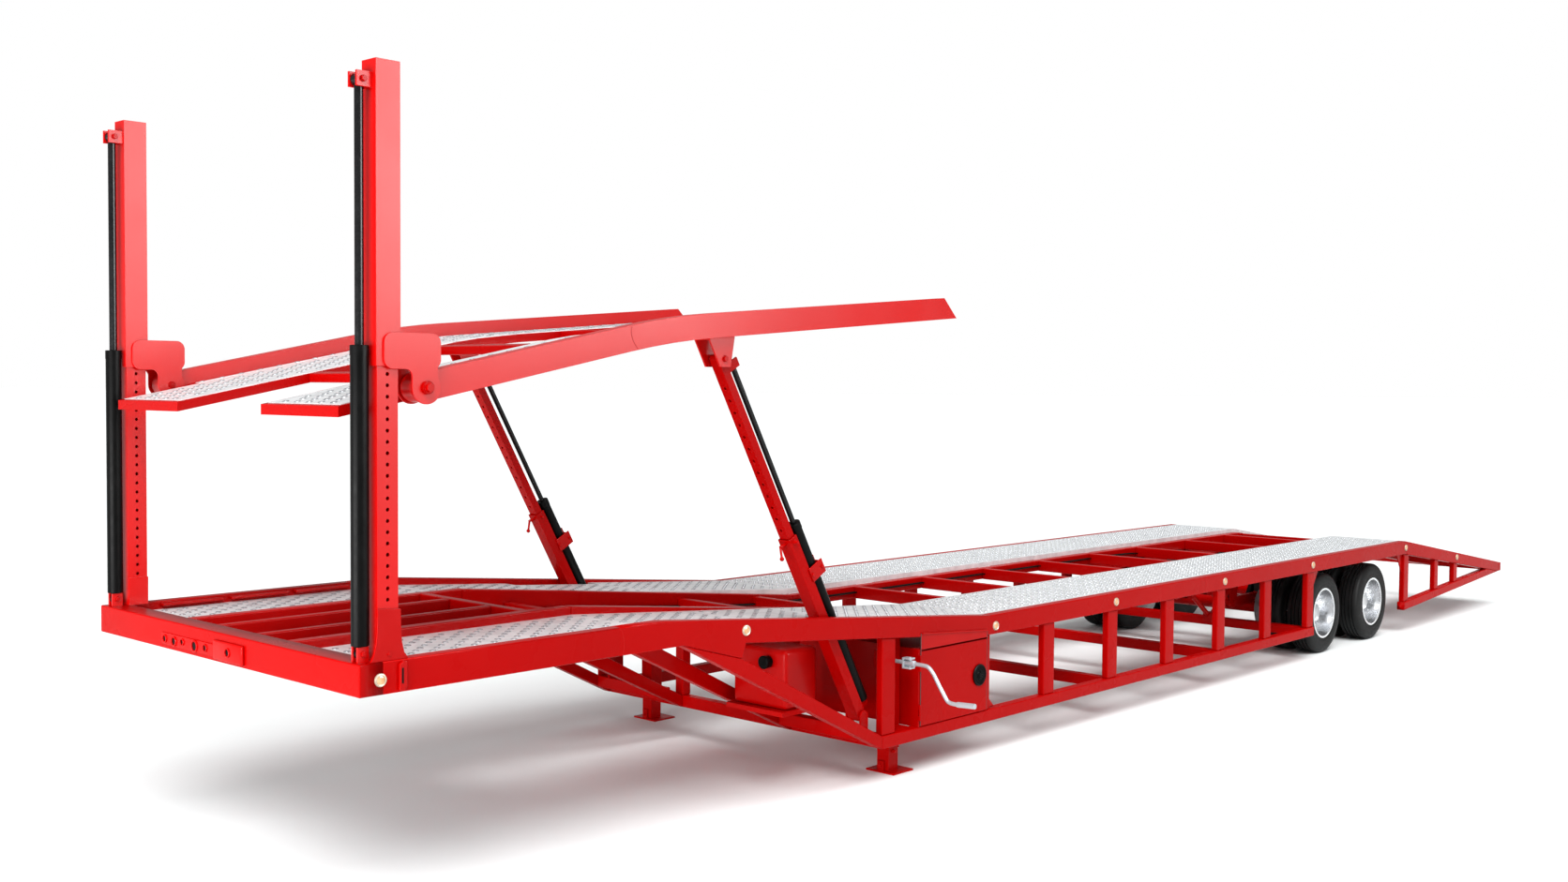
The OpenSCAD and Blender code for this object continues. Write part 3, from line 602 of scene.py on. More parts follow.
def tread_rows(name, start, end, inner, outer, pitch, spacing, radius, height, body, stagger=True):
    """Rows of teeth on a plank between two (back, up) stations."""
    begin = at(start[0], 0, start[1])
    run = at(end[0], 0, end[1]) - begin
    tangent = run.normalized()
    rows = max(1, int(run.length / pitch))
    across = max(1, int((outer - inner) / spacing))
    margin = (outer - inner - (across - 1) * spacing) / 2
    halves = []
    for half in ((0, 1) if stagger else (0,)):
        row_count = (rows + 1 - half) // 2 if stagger else rows
        tooth_count = across - half
        if row_count < 1 or tooth_count < 1:
            continue
        step = pitch * (2 if stagger else 1)
        left = inner + margin + spacing * 0.5 * half
        first = begin + tangent * (pitch * (0.5 + half)) + Vector((0, left, 0))
        piece = tooth(name, first, tangent, radius, height)
        apply_modifier(piece, "ARRAY", count=tooth_count, use_relative_offset=False,
                       use_constant_offset=True, constant_offset_displace=(0, spacing, 0))
        apply_modifier(piece, "ARRAY", count=row_count, use_relative_offset=False,
                       use_constant_offset=True, constant_offset_displace=tangent * step)
        halves.append(piece)
    piece = join(name, halves)
    twin = mirrored(piece, name + "_right")
    piece.name = piece.data.name = name + "_left"
    for one in (piece, twin):
        shade(one, 40)
        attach(one, body)
    return piece


# %% Teeth on the lower runways
rail_inner = half_width - 0.075
inner_rail_outer = 0.5445
plank_inner, plank_outer = inner_rail_outer + 0.02, rail_inner - 0.02
neck_tread, deck_tread, tail_tread = 1.150, 0.920, 0.4975


def tread_up(back):
    """Height of the treads on the neck and on the slope behind it."""
    share = max(0, (back - neck_stop) / (slope_stop - neck_stop))
    return neck_tread - (neck_tread - deck_tread) * share


# row pitch, spacing across, radius and height of the teeth
large_teeth, brace_teeth, slope_teeth = (
    (0.06, 0.105, 0.021, 0.007), (0.06, 0.105, 0.019, 0.006), (0.05, 0.09, 0.015, 0.006))
for name, start, end, outer, teeth in (
        ("neck_teeth", 0.14, neck_stop, plank_outer, large_teeth),
        ("slope_teeth_front", neck_stop, 2.66, plank_outer, large_teeth),
        ("slope_teeth_inner", 2.70, 3.39, 1.09, brace_teeth),
        ("slope_teeth_rear", 3.42, slope_stop, plank_outer, slope_teeth)):
    tread_rows(name, (start, tread_up(start)), (end, tread_up(end)), plank_inner, outer, *teeth, "chassis")
for row, shift in (("a", 0.0), ("b", 0.05)):
    tread_rows("deck_teeth_" + row, (slope_stop + shift, deck_tread), (deck_stop - 0.1 + shift, deck_tread),
               plank_inner, plank_outer, 0.142, 0.048, 0.014, 0.007, "chassis", stagger=False)
tread_rows("tail_teeth", (deck_stop + 0.02, deck_tread - 0.003), (tail_stop, tail_tread), plank_inner,
           plank_outer, 0.07, 0.06, 0.013, 0.006, "chassis")

# %% [markdown]
# ## Upper deck runways
# Each upper runway is a shallow red pan with a tread sheet laid in it, so a thin
# red border frames the bright sheet and the front flap shows a red edge. The pan
# is the softened CAD slab; the sheet is a thin plate just above it.

# %% Upper deck pans, sheets and teeth
pans = copy_of_node("upper_deck_runways", "upper_pans")
round_edges(pans, 0.004)
give(pans, "upper_deck", "red_paint")
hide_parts("upper_deck_runways")
pan_points = sorted({
    (round(v.co.x, 4), round(v.co.z, 4)) for v in nodes["upper_deck_runways"].data.vertices})


def pan_top(back):
    """Height of the pans' top at a distance behind the front, from their own corners."""
    x = at(back, 0, 0).x
    before = [p for p in pan_points if p[0] <= x + 0.0001]
    after = [p for p in pan_points if p[0] >= x - 0.0001]
    low_x, high_x = max(p[0] for p in before), min(p[0] for p in after)
    low_z = max(p[1] for p in before if abs(p[0] - low_x) < 0.002)
    high_z = max(p[1] for p in after if abs(p[0] - high_x) < 0.002)
    share = 0 if high_x == low_x else (x - low_x) / (high_x - low_x)
    return low_z + (high_z - low_z) * share - ground_z


sheet_inner, sheet_outer, sheet_thick, tooth_margin = 0.445, 1.16, 0.0025, 0.02
for label, start, end, inner, outer in (
        ("flap_outer", 0.485, 1.735, 1.115, sheet_outer), ("flap_inner", 0.045, 1.735, sheet_inner, 1.08),
        ("bend_front", 1.745, 1.885, sheet_inner, sheet_outer),
        ("bend_rear", 1.893, 2.175, sheet_inner, sheet_outer),
        ("rear", 2.185, 4.30, sheet_inner, sheet_outer)):
    start_up, end_up = pan_top(start), pan_top(end)
    name = "upper_sheet_" + label
    sheet = outline_plate(name, [
        (start, start_up + sheet_thick), (start, start_up), (end, end_up), (end, end_up + sheet_thick)],
        inner, outer - inner)
    both_sides(sheet, name, "upper_deck", "galvanised_tread")
    tread_rows("upper_teeth_" + label, (start, start_up + sheet_thick), (end, end_up + sheet_thick),
               inner + tooth_margin, outer - tooth_margin, *large_teeth, "upper_deck")

# %% [markdown]
# ## Tyres
# A trailer tyre has a nearly flat tread with four straight grooves, a rounded
# shoulder and a bulging sidewall with raised rings near the bead. Its section is
# drawn as a line of points and spun round the axle.

# %% Tyres
tyre_radius = 0.368
bead_radius = 0.222
tyre_half = 0.1075


def tyre_section():
    groove = 0.011
    right_half = [
        (0.0, tyre_radius), (0.014, tyre_radius), (0.016, tyre_radius - groove),
        (0.022, tyre_radius - groove), (0.024, tyre_radius), (0.046, tyre_radius - 0.0005),
        (0.048, tyre_radius - groove), (0.054, tyre_radius - groove), (0.056, tyre_radius - 0.001),
        (0.078, tyre_radius - 0.003), (0.089, tyre_radius - 0.009), (0.096, tyre_radius - 0.019),
        (0.1005, tyre_radius - 0.032), (0.1045, tyre_radius - 0.05), (0.1075, tyre_radius - 0.074),
        (0.1070, tyre_radius - 0.092), (0.1045, bead_radius + 0.036), (0.1055, bead_radius + 0.034),
        (0.1045, bead_radius + 0.030), (0.1005, bead_radius + 0.022), (0.1010, bead_radius + 0.019),
        (0.0975, bead_radius + 0.012), (0.0925, bead_radius + 0.006), (0.084, bead_radius)]
    whole = [(-h, r) for h, r in reversed(right_half[1:])] + right_half
    return whole + whole[:1]


axle_places = {"front": 10.140, "rear": 11.235}
axle_shift = {"front": (0, 0, 0), "rear": (axle_places["front"] - axle_places["rear"], 0, 0)}
outer_tyre_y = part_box("tyres_front_left")[1].y - tyre_half
twin_pitch = 0.26
model_tyre = turned("tyre", tyre_section(), at(axle_places["front"], outer_tyre_y, tyre_radius),
                    (0, 1, 0), 72)
shade(model_tyre, 38)
inner_tyre = moved(model_tyre, "inner_tyre", (0, -twin_pitch, 0))
tyre_pair = join("tyre_pair", [model_tyre, inner_tyre])
for end in ("front", "rear"):
    left_pair = moved(tyre_pair, f"tyre_pair_{end}_left", axle_shift[end])
    right_pair = mirrored(left_pair, f"tyre_pair_{end}_right")
    for side, pair in (("left", left_pair), ("right", right_pair)):
        shade(pair, 38)
        give(pair, f"wheel_{end}_{side}", "tyre_rubber")
        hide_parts(f"tyres_{end}_{side}")
bpy.data.objects.remove(tyre_pair)

# %% [markdown]
# ## Rims
# The rims are polished aluminium, dished so the pair bolts back to back. The CAD
# rim keeps its section; hand holes are cut through its disc with a boolean, and
# ten nuts and a hub cap with a rim are added. One wheel is made and copied.

# %% Rims
bolt_count, hole_circle, nut_circle = 10, 0.139, 0.1125
twin_middle = outer_tyre_y - twin_pitch / 2
hub_profile = [(0, 0), (0, 0.074), (0.004, 0.077), (0.012, 0.077), (0.016, 0.07), (0.02, 0.052),
               (0.022, 0.02), (0.022, 0)]


def on_rim(share, circle, left):
    """A place in the front left wheel: a share of a turn round, on a circle."""
    angle = math.tau * share
    return at(axle_places["front"], left, tyre_radius) + Vector(
        (math.cos(angle) * circle, 0, math.sin(angle) * circle))


def wheel_details():
    """The front left rim with its hand holes, and its nuts and hub cap."""
    rim = copy_of_node("wheel_front_left", "rim")
    cutters, nuts = [], []
    for i in range(bolt_count):
        spot = on_rim((i + 0.5) / bolt_count, hole_circle, 0)
        cutters.append(pin("cutter", spot + Vector((0, 0.7, 0)), spot + Vector((0, 1.3, 0)), 0.015, 20))
    cutter = join("cutter", cutters)
    apply_modifier(rim, "BOOLEAN", operation="DIFFERENCE", solver="EXACT", object=cutter)
    bpy.data.objects.remove(cutter)
    round_edges(rim, 0.0015, 1)
    for i in range(bolt_count):
        spot = on_rim(i / bolt_count, nut_circle, twin_middle + 0.016)
        nuts.append(pin("stud", spot, spot + Vector((0, 0.058, 0)), 0.0075, 12))
        nuts.append(pin("nut", spot, spot + Vector((0, 0.036, 0)), 0.0155, 6))
    cap = turned("cap", hub_profile, on_rim(0, 0, twin_middle + 0.143), (0, 1, 0), 40)
    fittings = join("fittings", nuts + [cap])
    round_edges(fittings, 0.001, 1, smooth=False)
    return rim, shade(fittings, 30)


model_rim, model_fittings = wheel_details()
for end in ("front", "rear"):
    for kind, model, look in (
            ("rims", model_rim, "polished_aluminium"), ("wheel_nuts", model_fittings, "zinc_plate")):
        left_one = moved(model, f"{kind}_{end}_left", axle_shift[end])
        right_one = mirrored(left_one, f"{kind}_{end}_right")
        for side, one in (("left", left_one), ("right", right_one)):
            give(one, f"wheel_{end}_{side}", look)
            if kind == "rims":
                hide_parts(f"wheel_{end}_{side}")
bpy.data.objects.remove(model_rim)
bpy.data.objects.remove(model_fittings)

# %% [markdown]
# ## Marker and tail lights
# A marker light is a shallow dome in a bright ring. Both are turned on a lathe:
# the lens curves down to its edge, and the ring is rounded over it.

# %% Lights
marker_spots = [(0.105, 1.116), (2.416, 1.079), (4.787, 0.845), (6.313, 0.855), (8.008, 0.855),
                (9.679, 0.855), (11.829, 0.855), (13.243, 0.653)]
lens_section = [(0, 0), (0, 0.021), (0.007, 0.021), (0.0095, 0.017), (0.011, 0.01), (0.0115, 0)]
ring_section = [(0, 0.0205), (0, 0.03), (0.004, 0.0305), (0.0085, 0.028), (0.0095, 0.0245),
                (0.0075, 0.0205), (0, 0.0205)]


def lamps(kind, spots, scale, axis, lens_look, ring_look):
    """One piece of lenses and one of rings at the spots, on both sides."""
    made = []
    for part, section in (("lens", lens_section), ("ring", ring_section)):
        profile = [(h * scale, r * scale) for h, r in section]
        made.append(shade(join(part, [turned(part, profile, spot, axis, 32) for spot in spots]), 40))
    both_sides(made[0], kind + "_lenses", "chassis", lens_look)
    both_sides(made[1], kind + "_rings", "chassis", ring_look)
    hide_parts(kind + "_lights")


rear_face, tail_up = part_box("rear_bar")[0].x, 0.445
lamps("marker", [at(back, half_width, up) for back, up in marker_spots], 1.0, (0, 1, 0),
      "amber_lens", "lamp_ring")
lamps("tail", [Vector((rear_face, left, ground_z + tail_up)) for left in (1.05, 1.18)], 1.6, (-1, 0, 0),
      "red_lens", "black_paint")

# %% [markdown]
# ## Mast feet
# Each mast stands on the neck rail in a shoe: a flared plate on its outer face
# that spreads the load fore and aft. Behind the front light a bracket for a strap
# is bolted to the rail; a thin black bar on its face is painted shade for its slot.

# %% Mast feet
mast_outer = 1.276
shoe_points = [(0.098, 1.43), (0.217, 1.42), (0.219, 1.33), (0.224, 1.27), (0.235, 1.225),
               (0.258, 1.195), (0.062, 1.195), (0.078, 1.225), (0.09, 1.27), (0.096, 1.33)]
shoe = outline_plate("mast_shoe", shoe_points, mast_outer, 0.012)
round_edges(shoe, 0.002)
both_sides(shoe, "mast_shoe")
shoe_bolt = hex_bolt("shoe_bolt", at(0.155, mast_outer + 0.012, 1.225), (0, 1, 0), 0.009)
both_sides(shoe_bolt, "shoe_bolt")

bracket_points = [(0.195, 1.06), (0.195, 1.175), (0.218, 1.19), (0.235, 1.185), (0.235, 1.075),
                  (0.221, 1.055)]
strap_bracket = outline_plate("strap_bracket", bracket_points, half_width, 0.018)
round_edges(strap_bracket, 0.004)
both_sides(strap_bracket, "strap_bracket")
# The strap slot is a thin black bar on the bracket's face: painted shade for the opening.
slot_shade_bar = bar("strap_slot_shade", at(0.205, half_width + 0.0175, 1.09), at(0.214, half_width + 0.0195, 1.16))
round_edges(slot_shade_bar, 0.0006, 1)
both_sides(slot_shade_bar, "strap_slot_shade", "chassis", "black_paint")

# %% [markdown]
# ## Cylinder fittings
# A hydraulic cylinder hangs between pins. The masts' cylinders get bolt heads on
# the ears at both ends, and each barrel a gland nut at its mouth.

# %% Cylinder fittings
jack_back, jack_left = 0.05, 1.2225
for label, body, up, reach in (("foot", "chassis", 1.232, 0.026), ("eye", "front_lift", 3.746, 0.0405)):
    heads = [hex_bolt("head", at(jack_back, jack_left + s * reach, up), (0, s, 0), 0.013) for s in (-1, 1)]
    both_sides(join("jack_bolts", heads), f"jack_{label}_bolts", body)
gland = turned("gland", [(0, 0.0385), (0, 0.0415), (0.044, 0.0415), (0.046, 0.0395), (0.046, 0.0225)],
               at(jack_back, jack_left, 2.545), (0, 0, 1), 40)
both_sides(shade(gland, 35), "mast_gland", "chassis", "black_paint")

post_base, post_head = at(3.530, 0, 0.420), at(2.315, 0, 2.570)
post_axis = (post_head - post_base).normalized()
post_back = Vector((-post_axis.z, 0, post_axis.x))
post_left = 1.1595


def on_post(along, back, left=0.0):
    """A place on the left rear post: along it, behind it, and to its left."""
    return post_base + post_axis * along + post_back * back + Vector((0, post_left + left, 0))


gland = turned("gland", [(0, 0.0375), (0, 0.0405), (0.04, 0.0405), (0.042, 0.0385), (0.042, 0.0185)],
               on_post(1.302, 0.084), post_axis, 40)
both_sides(shade(gland, 35), "post_gland", "rear_post_outer", "black_paint")

# %% [markdown]
# ## Clamps of the rear cylinders
# Halfway up, a clamp holds each rear cylinder to its post: two cheek plates that
# start on the post, pass the barrel and are closed behind it by a third plate.
# The cheeks lean with the post, so they are drawn in the post's own directions.

# %% Cylinder clamps
def post_plate(name, low, high):
    """A box in the post's directions: (along, back, left) corners."""
    centre = [(a + b) / 2 for a, b in zip(low, high)]
    along, back, left = (b - a for a, b in zip(low, high))
    half = Vector((back, left, along)) / 2
    piece = bar(name, -half, half)
    piece.rotation_euler = Matrix((post_back, (0, 1, 0), post_axis)).transposed().to_euler()
    piece.location = on_post(*centre)
    return settle(piece, name)


clamp_low, clamp_high, clamp_reach = 0.975, 1.065, 0.142
post_side, cheek_side = 0.0465, 0.0545
clamp_plates = [
    post_plate("cheek", (clamp_low, 0.02, s * post_side), (clamp_high, clamp_reach, s * cheek_side))
    for s in (-1, 1)]
clamp_plates.append(post_plate("back", (clamp_low + 0.012, clamp_reach - 0.012, -post_side),
                               (clamp_high - 0.012, clamp_reach - 0.004, post_side)))
clamp = join("clamp", clamp_plates)
in_edit(clamp, lambda: bpy.ops.mesh.normals_make_consistent(inside=False))
round_edges(clamp, 0.002)
both_sides(clamp, "cylinder_clamp", "rear_post_outer")
clamp_bolts = [hex_bolt("head", on_post(1.02, back, s * cheek_side), (0, s, 0), 0.011)
               for s in (-1, 1) for back in (0.035, 0.125)]
both_sides(join("clamp_bolts", clamp_bolts), "clamp_bolts", "rear_post_outer")

# %% [markdown]
# ## Pivots of the upper deck
# The deck turns on a pin through each mast bracket, and rests on the inclined
# posts at the lugs under its rails. Large bolt heads close both.

# %% Deck pivots
pivot_bolt = hex_bolt("pivot_bolt", at(0.35, 1.311, 2.406), (0, 1, 0), 0.022)
both_sides(pivot_bolt, "pivot_bolt", "front_lift")
lug_heads = [hex_bolt("head", at(2.315, post_left + s * 0.061, 2.570), (0, s, 0), 0.017) for s in (-1, 1)]
both_sides(join("lug_heads", lug_heads), "lug_bolts", "upper_deck")

# %% [markdown]
# ## Pipes
# The crank and the brake lines are round bars with smooth bends. A curve through
# a few points gives the bends, a bevel gives it a round section, and it is then
# turned into a mesh.

# %% Pipe helper
def line_along(name, points, radius, sides=2, smoothness=6):
    """A rigid pipe through the points."""
    clear_selection()
    bpy.ops.curve.primitive_bezier_curve_add()
    curve = bpy.context.object
    curve.data.splines.clear()
    spline = curve.data.splines.new("NURBS")
    spline.points.add(len(points) - 1)
    for knot, place in zip(spline.points, points):
        knot.co = (*place, 1)
    spline.use_endpoint_u = True
    spline.order_u = 3
    curve.data.bevel_depth = radius
    curve.data.bevel_resolution = sides
    curve.data.use_fill_caps = True
    curve.data.resolution_u = smoothness
    only(curve)
    bpy.ops.object.convert(target="MESH")
    pipe = settle(bpy.context.object, name)
    in_edit(pipe, lambda: bpy.ops.mesh.remove_doubles(threshold=0.00001),
            lambda: bpy.ops.mesh.normals_make_consistent(inside=False))
    return shade(pipe, 40)


# %% [markdown]
# ## Toolbox door
# The door reaches up over the sloped rail with a thin lip and a hem, so its top
# edge runs parallel to the rail, and a thin black strip down both edges is painted
# shade for the gaps there. Its latch is a round black knob with rings of small
# studs in a dished face.

# %% Toolbox door
door_rear, door_front = front_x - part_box("toolbox_door")[0].x, 3.986
lip_left, lip_low, lip_front, lip_rear = half_width + 0.0006, 0.770, 0.886, 0.830
lip = outline_plate("door_lip", [
    (door_front, lip_low), (door_front, lip_front), (door_rear, lip_rear), (door_rear, lip_low)],
    lip_left, 0.0034)
hem = outline_plate("door_hem", [
    (door_front, lip_front - 0.007), (door_front, lip_front + 0.001),
    (door_rear, lip_rear + 0.001), (door_rear, lip_rear - 0.007)], lip_left, 0.011)
lip = join("door_lip", [lip, hem])
round_edges(lip, 0.001, 1)
give(lip, "toolbox_door")
# Thin black strips down the door's front and rear edges: painted shade for the gaps there.
gap_shade_strip = join("door_gap_shade", [
    bar("gap_shade_strip", at(edge, lip_left, 0.302), at(edge + s * 0.006, half_width + 0.003, top - 0.002))
    for edge, s, top in ((door_front, -1, lip_front), (door_rear, 1, lip_rear))])
round_edges(gap_shade_strip, 0.0008, 1)
give(gap_shade_strip, "toolbox_door", "spring_rubber")
latch_place = at(4.60, half_width + 0.004, 0.543)
latch = turned("latch", [
    (0, 0), (0, 0.068), (0.003, 0.071), (0.009, 0.071), (0.012, 0.067), (0.012, 0.060), (0.008, 0.058),
    (0.008, 0.030), (0.013, 0.027), (0.016, 0.018), (0.0165, 0)], latch_place, (0, 1, 0), 40)
studs = []
for ring_radius, count, stud_height in ((0.051, 22, 0.0055), (0.039, 16, 0.0055), (0.018, 7, 0.0135)):
    for i in range(count):
        angle = math.tau * i / count + ring_radius * 40
        spot = latch_place + Vector((math.cos(angle) * ring_radius, 0.006, math.sin(angle) * ring_radius))
        studs.append(pin("stud", spot, spot + Vector((0, stud_height, 0)), 0.0045, 8))
latch = shade(join("latch", [latch] + studs), 30)
give(latch, "toolbox_door", "black_paint")

# %% [markdown]
# ## Landing crank
# The crank is one bar, bent twice, that drops from the gearbox to a handle which
# points away from the trailer. A forked clevis with a cross pin joins it to the
# gearbox shaft.

# %% Landing crank
crank_back, shaft_up, clevis_half = 3.828, 0.722, 0.026
crank_route = [(1.17, shaft_up), (1.30, shaft_up), (1.43, shaft_up), (1.475, 0.719), (1.515, 0.68),
               (1.54, 0.64), (1.60, 0.555), (1.625, 0.522), (1.665, 0.517), (1.70, 0.518), (1.812, 0.524)]
crank_bar = line_along("crank_bar", [at(crank_back, y, z) for y, z in crank_route], 0.0125, 4, 8)
handle = pin("handle", at(crank_back, 1.695, 0.5178), at(crank_back, 1.826, 0.525), 0.0165, 28)
round_edges(handle, 0.002, 2)
clevis = [bar("cheek", at(crank_back - clevis_half, 1.296, shaft_up + s * 0.024),
              at(crank_back + clevis_half, 1.352, shaft_up + s * 0.034)) for s in (-1, 1)]
clevis.append(bar("web", at(crank_back - clevis_half, 1.290, shaft_up - 0.034),
                  at(crank_back + clevis_half, 1.300, shaft_up + 0.034)))
clevis.append(pin("cross_pin", at(crank_back, 1.334, shaft_up - 0.038),
                  at(crank_back, 1.334, shaft_up + 0.038), 0.009, 20))
clevis.append(pin("boss", at(crank_back, 1.296, shaft_up), at(crank_back, 1.372, shaft_up), 0.019, 28))
clevis = join("clevis", clevis)
round_edges(clevis, 0.002, 1, smooth=False)
crank = shade(join("crank", [crank_bar, handle, clevis]), 35)
give(crank, "chassis", "crank_steel")
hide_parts("landing_crank")

# %% [markdown]
# ## Front beam
# Where the trailer couples, the front beam carries a row of sockets for air and
# electric lines on a long plate, and a lifting tab with an eye. The plate is a
# bar with chamfered corners; a socket is turned, and a thin black disc in it is
# painted shade for its hollow.

# %% Front beam
socket_plate = bar("socket_plate", at(0.001, -0.56, 1.072), at(-0.006, 0.02, 1.132))
round_edges(socket_plate, 0.0015)
tab_body = bar("tab", at(0.001, 0.0, 1.062), at(-0.014, 0.29, 1.158))
apply_modifier(tab_body, "BEVEL", width=0.012, segments=3, limit_method="ANGLE")
shade(tab_body, 30)
give(join("front_plates", [socket_plate, tab_body]))
sockets, hollow_shades = [], []
for left, up, radius in (
        (-0.52, 1.102, 0.016), (-0.42, 1.098, 0.02), (-0.33, 1.105, 0.014), (-0.2, 1.1, 0.024),
        (-0.09, 1.104, 0.016), (0.15, 1.11, 0.018)):
    place = at(-0.014 if left > 0 else -0.006, left, up)
    rim_section = [(0, radius), (0, radius * 1.35), (0.004, radius * 1.35), (0.006, radius * 1.2),
                   (0.006, radius), (0.001, radius * 0.95), (0, radius)]
    # A thin black disc inside each socket: painted shade for its hollow.
    hollow_shade_section = [(0.0004, 0), (0.0004, radius), (0.0014, radius * 0.8), (0.0014, 0)]
    sockets.append(turned("socket", rim_section, place, (1, 0, 0), 24))
    hollow_shades.append(turned("hollow_shade", hollow_shade_section, place, (1, 0, 0), 24))
give(shade(join("socket_rims", sockets), 30))
give(shade(join("socket_hollow_shades", hollow_shades), 30), "chassis", "black_paint")

# %% [markdown]
# ## Neck ledges
# Along the inside of each neck rail runs a ledge with gaps in it, where straps
# are hooked. One length is modelled and moved back along the rail.

# %% Neck ledges
ledge = bar("ledge", at(0.30, rail_inner - 0.034, 1.168), at(0.66, rail_inner + 0.002, 1.184))
round_edges(ledge, 0.003)
ledges = [ledge] + [moved(ledge, "ledge", (-0.41 * i, 0, 0)) for i in (1, 2)]
both_sides(join("neck_ledge", ledges), "neck_ledge")

# %% [markdown]
# ## Weld beads
# Where two lengths of rail meet, the seam is a narrow raised bead. On the neck
# and on the upper deck's bend it is curved, because the joint is cut as an arc
# to spread the load. A thin plate with an arc for its outline stands for it.

# %% Weld beads
def arc_bead(name, top, bottom, bulge, width, left, thickness):
    """A bead between two (back, up) points that bows backwards by `bulge`."""
    steps = 8
    spine = []
    for i in range(steps + 1):
        t = i / steps
        bow = bulge * 4 * t * (1 - t)
        spine.append((top[0] + (bottom[0] - top[0]) * t + bow, top[1] + (bottom[1] - top[1]) * t))
    points = [(b - width / 2, u) for b, u in spine] + [(b + width / 2, u) for b, u in reversed(spine)]
    bead = outline_plate(name, points, left, thickness)
    round_edges(bead, thickness * 0.4, 1)
    return bead


neck_bead = arc_bead("neck_bead", (1.50, 1.192), (1.515, 1.051), 0.022, 0.006, half_width - 0.0005, 0.0018)
both_sides(neck_bead, "neck_bead")
upper_rail_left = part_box("upper_deck_rails")[1].y
bend_bead = arc_bead("bend_bead", (1.60, 2.7205), (1.645, 2.606), -0.02, 0.006,
                     upper_rail_left - 0.0005, 0.0018)
both_sides(bend_bead, "bend_bead", "upper_deck")

# %% [markdown]
# ## Gussets
# Small triangular plates stiffen the corners where an upright meets a rail. Each
# is an outline of three points, given its thickness and slightly rounded.

# %% Gussets
for name, points in (
        ("axle_gusset", [(9.738, 0.788), (9.87, 0.788), (9.738, 0.60)]),
        ("tail_gusset", [(11.70, 0.788), (11.828, 0.788), (11.828, 0.60)]),
        ("toolbox_gusset", [(4.75, 0.30), (4.83, 0.30), (4.75, 0.38)])):
    plate = outline_plate(name, points, 1.25, 0.010)
    round_edges(plate, 0.0015)
    both_sides(plate, name)

# %% [markdown]
# ## Locking pins of the rear posts
# A pin through both tubes of a rear post locks the deck's height. In front of it
# a bent handle with a knob stands at the mouth of the outer tube.

# %% Locking pins
mouth = 1.27
pin_parts = [
    pin("shank", on_post(mouth, 0.0, -0.062), on_post(mouth, 0.0, 0.075), 0.008, 20),
    hex_bolt("head", on_post(mouth, 0.0, 0.045), (0, 1, 0), 0.014),
    pin("stem", on_post(mouth, -0.034, 0.0), on_post(mouth + 0.01, -0.078, 0.0), 0.0085, 20),
    pin("handle", on_post(mouth + 0.004, -0.078, 0.0), on_post(mouth - 0.05, -0.108, 0.012), 0.007, 16),
    turned("knob", [
        (-0.013, 0), (-0.011, 0.007), (-0.005, 0.0125), (0.005, 0.0125), (0.011, 0.007), (0.013, 0)],
        on_post(mouth - 0.05, -0.108, 0.012), post_axis, 20)]
pins = shade(join("locking_pin", pin_parts), 35)
both_sides(pins, "locking_pin", "rear_post_outer")

# %% [markdown]
# ## Running gear
# Each wheel hides a brake drum, worked by an air chamber on the axle through a
# short rod. The axles hang from a subframe under the inner rails, with cross
# tubes and a pair of slanted braces in front. A shock absorber leans from the
# axle to the frame, and slanted struts brace the hangers. All are turned or
# drawn as bars, then mirrored.

# %% Running gear
drum_section = [(0, 0.05), (0, 0.12), (0.02, 0.165), (0.03, 0.203), (0.12, 0.203), (0.125, 0.21),
                (0.14, 0.21), (0.145, 0.203), (0.145, 0.05), (0, 0.05)]
chamber_section = [(0, 0), (0, 0.055), (0.012, 0.07), (0.05, 0.074), (0.053, 0.082), (0.06, 0.082),
                   (0.063, 0.074), (0.1, 0.066), (0.112, 0.05), (0.112, 0)]
drums, black_gear, bright_gear = [], [], []
red_gear = [bar("subframe", at(8.75, 0.485, 0.70), at(11.75, 0.604, 0.79))]
for back in (8.82, 9.18, 9.62):
    red_gear.append(bar("cross", at(back, 0.0, 0.56), at(back + 0.07, 0.53, 0.64)))
    red_gear.append(bar("drop", at(back, 0.49, 0.56), at(back + 0.07, 0.57, 0.72)))
red_gear.append(pin("brace", at(8.86, 0.54, 0.60), at(9.22, 0.54, 0.36), 0.022, 20))
red_gear.append(pin("brace", at(9.22, 0.54, 0.36), at(9.64, 0.54, 0.60), 0.022, 20))
red_gear.append(bar("brace_foot", at(9.17, 0.50, 0.32), at(9.28, 0.58, 0.40)))
for back in axle_places.values():
    drums.append(turned("drum", drum_section, at(back, 0.588, tyre_radius), (0, 1, 0), 48))
    red_gear.append(turned("chamber", chamber_section, at(back - 0.17, 0.25, 0.46), (0.2, 0.35, 0.1), 32))
    red_gear.append(pin("push_rod", at(back - 0.145, 0.36, 0.475), at(back - 0.03, 0.56, 0.44), 0.009, 16))
    red_gear.append(bar("chamber_bracket", at(back - 0.18, 0.2, 0.37), at(back, 0.23, 0.43)))
    black_gear.append(pin("shock_body", at(back + 0.1, 0.40, 0.40), at(back + 0.24, 0.40, 0.60), 0.033, 24))
    bright_gear.append(pin("shock_rod", at(back + 0.24, 0.40, 0.60), at(back + 0.33, 0.40, 0.73), 0.014, 20))
    red_gear.append(bar("shock_foot", at(back + 0.07, 0.36, 0.375), at(back + 0.13, 0.44, 0.415)))
    red_gear.append(bar("shock_head", at(back + 0.30, 0.37, 0.71), at(back + 0.36, 0.47, 0.79)))
    red_gear.append(pin("strut", at(back - 0.48, 0.44, 0.45), at(back - 0.80, 0.10, 0.78), 0.024, 20))
    red_gear.append(pin("strut", at(back - 0.47, 0.50, 0.44), at(back - 0.98, 0.50, 0.80), 0.022, 20))
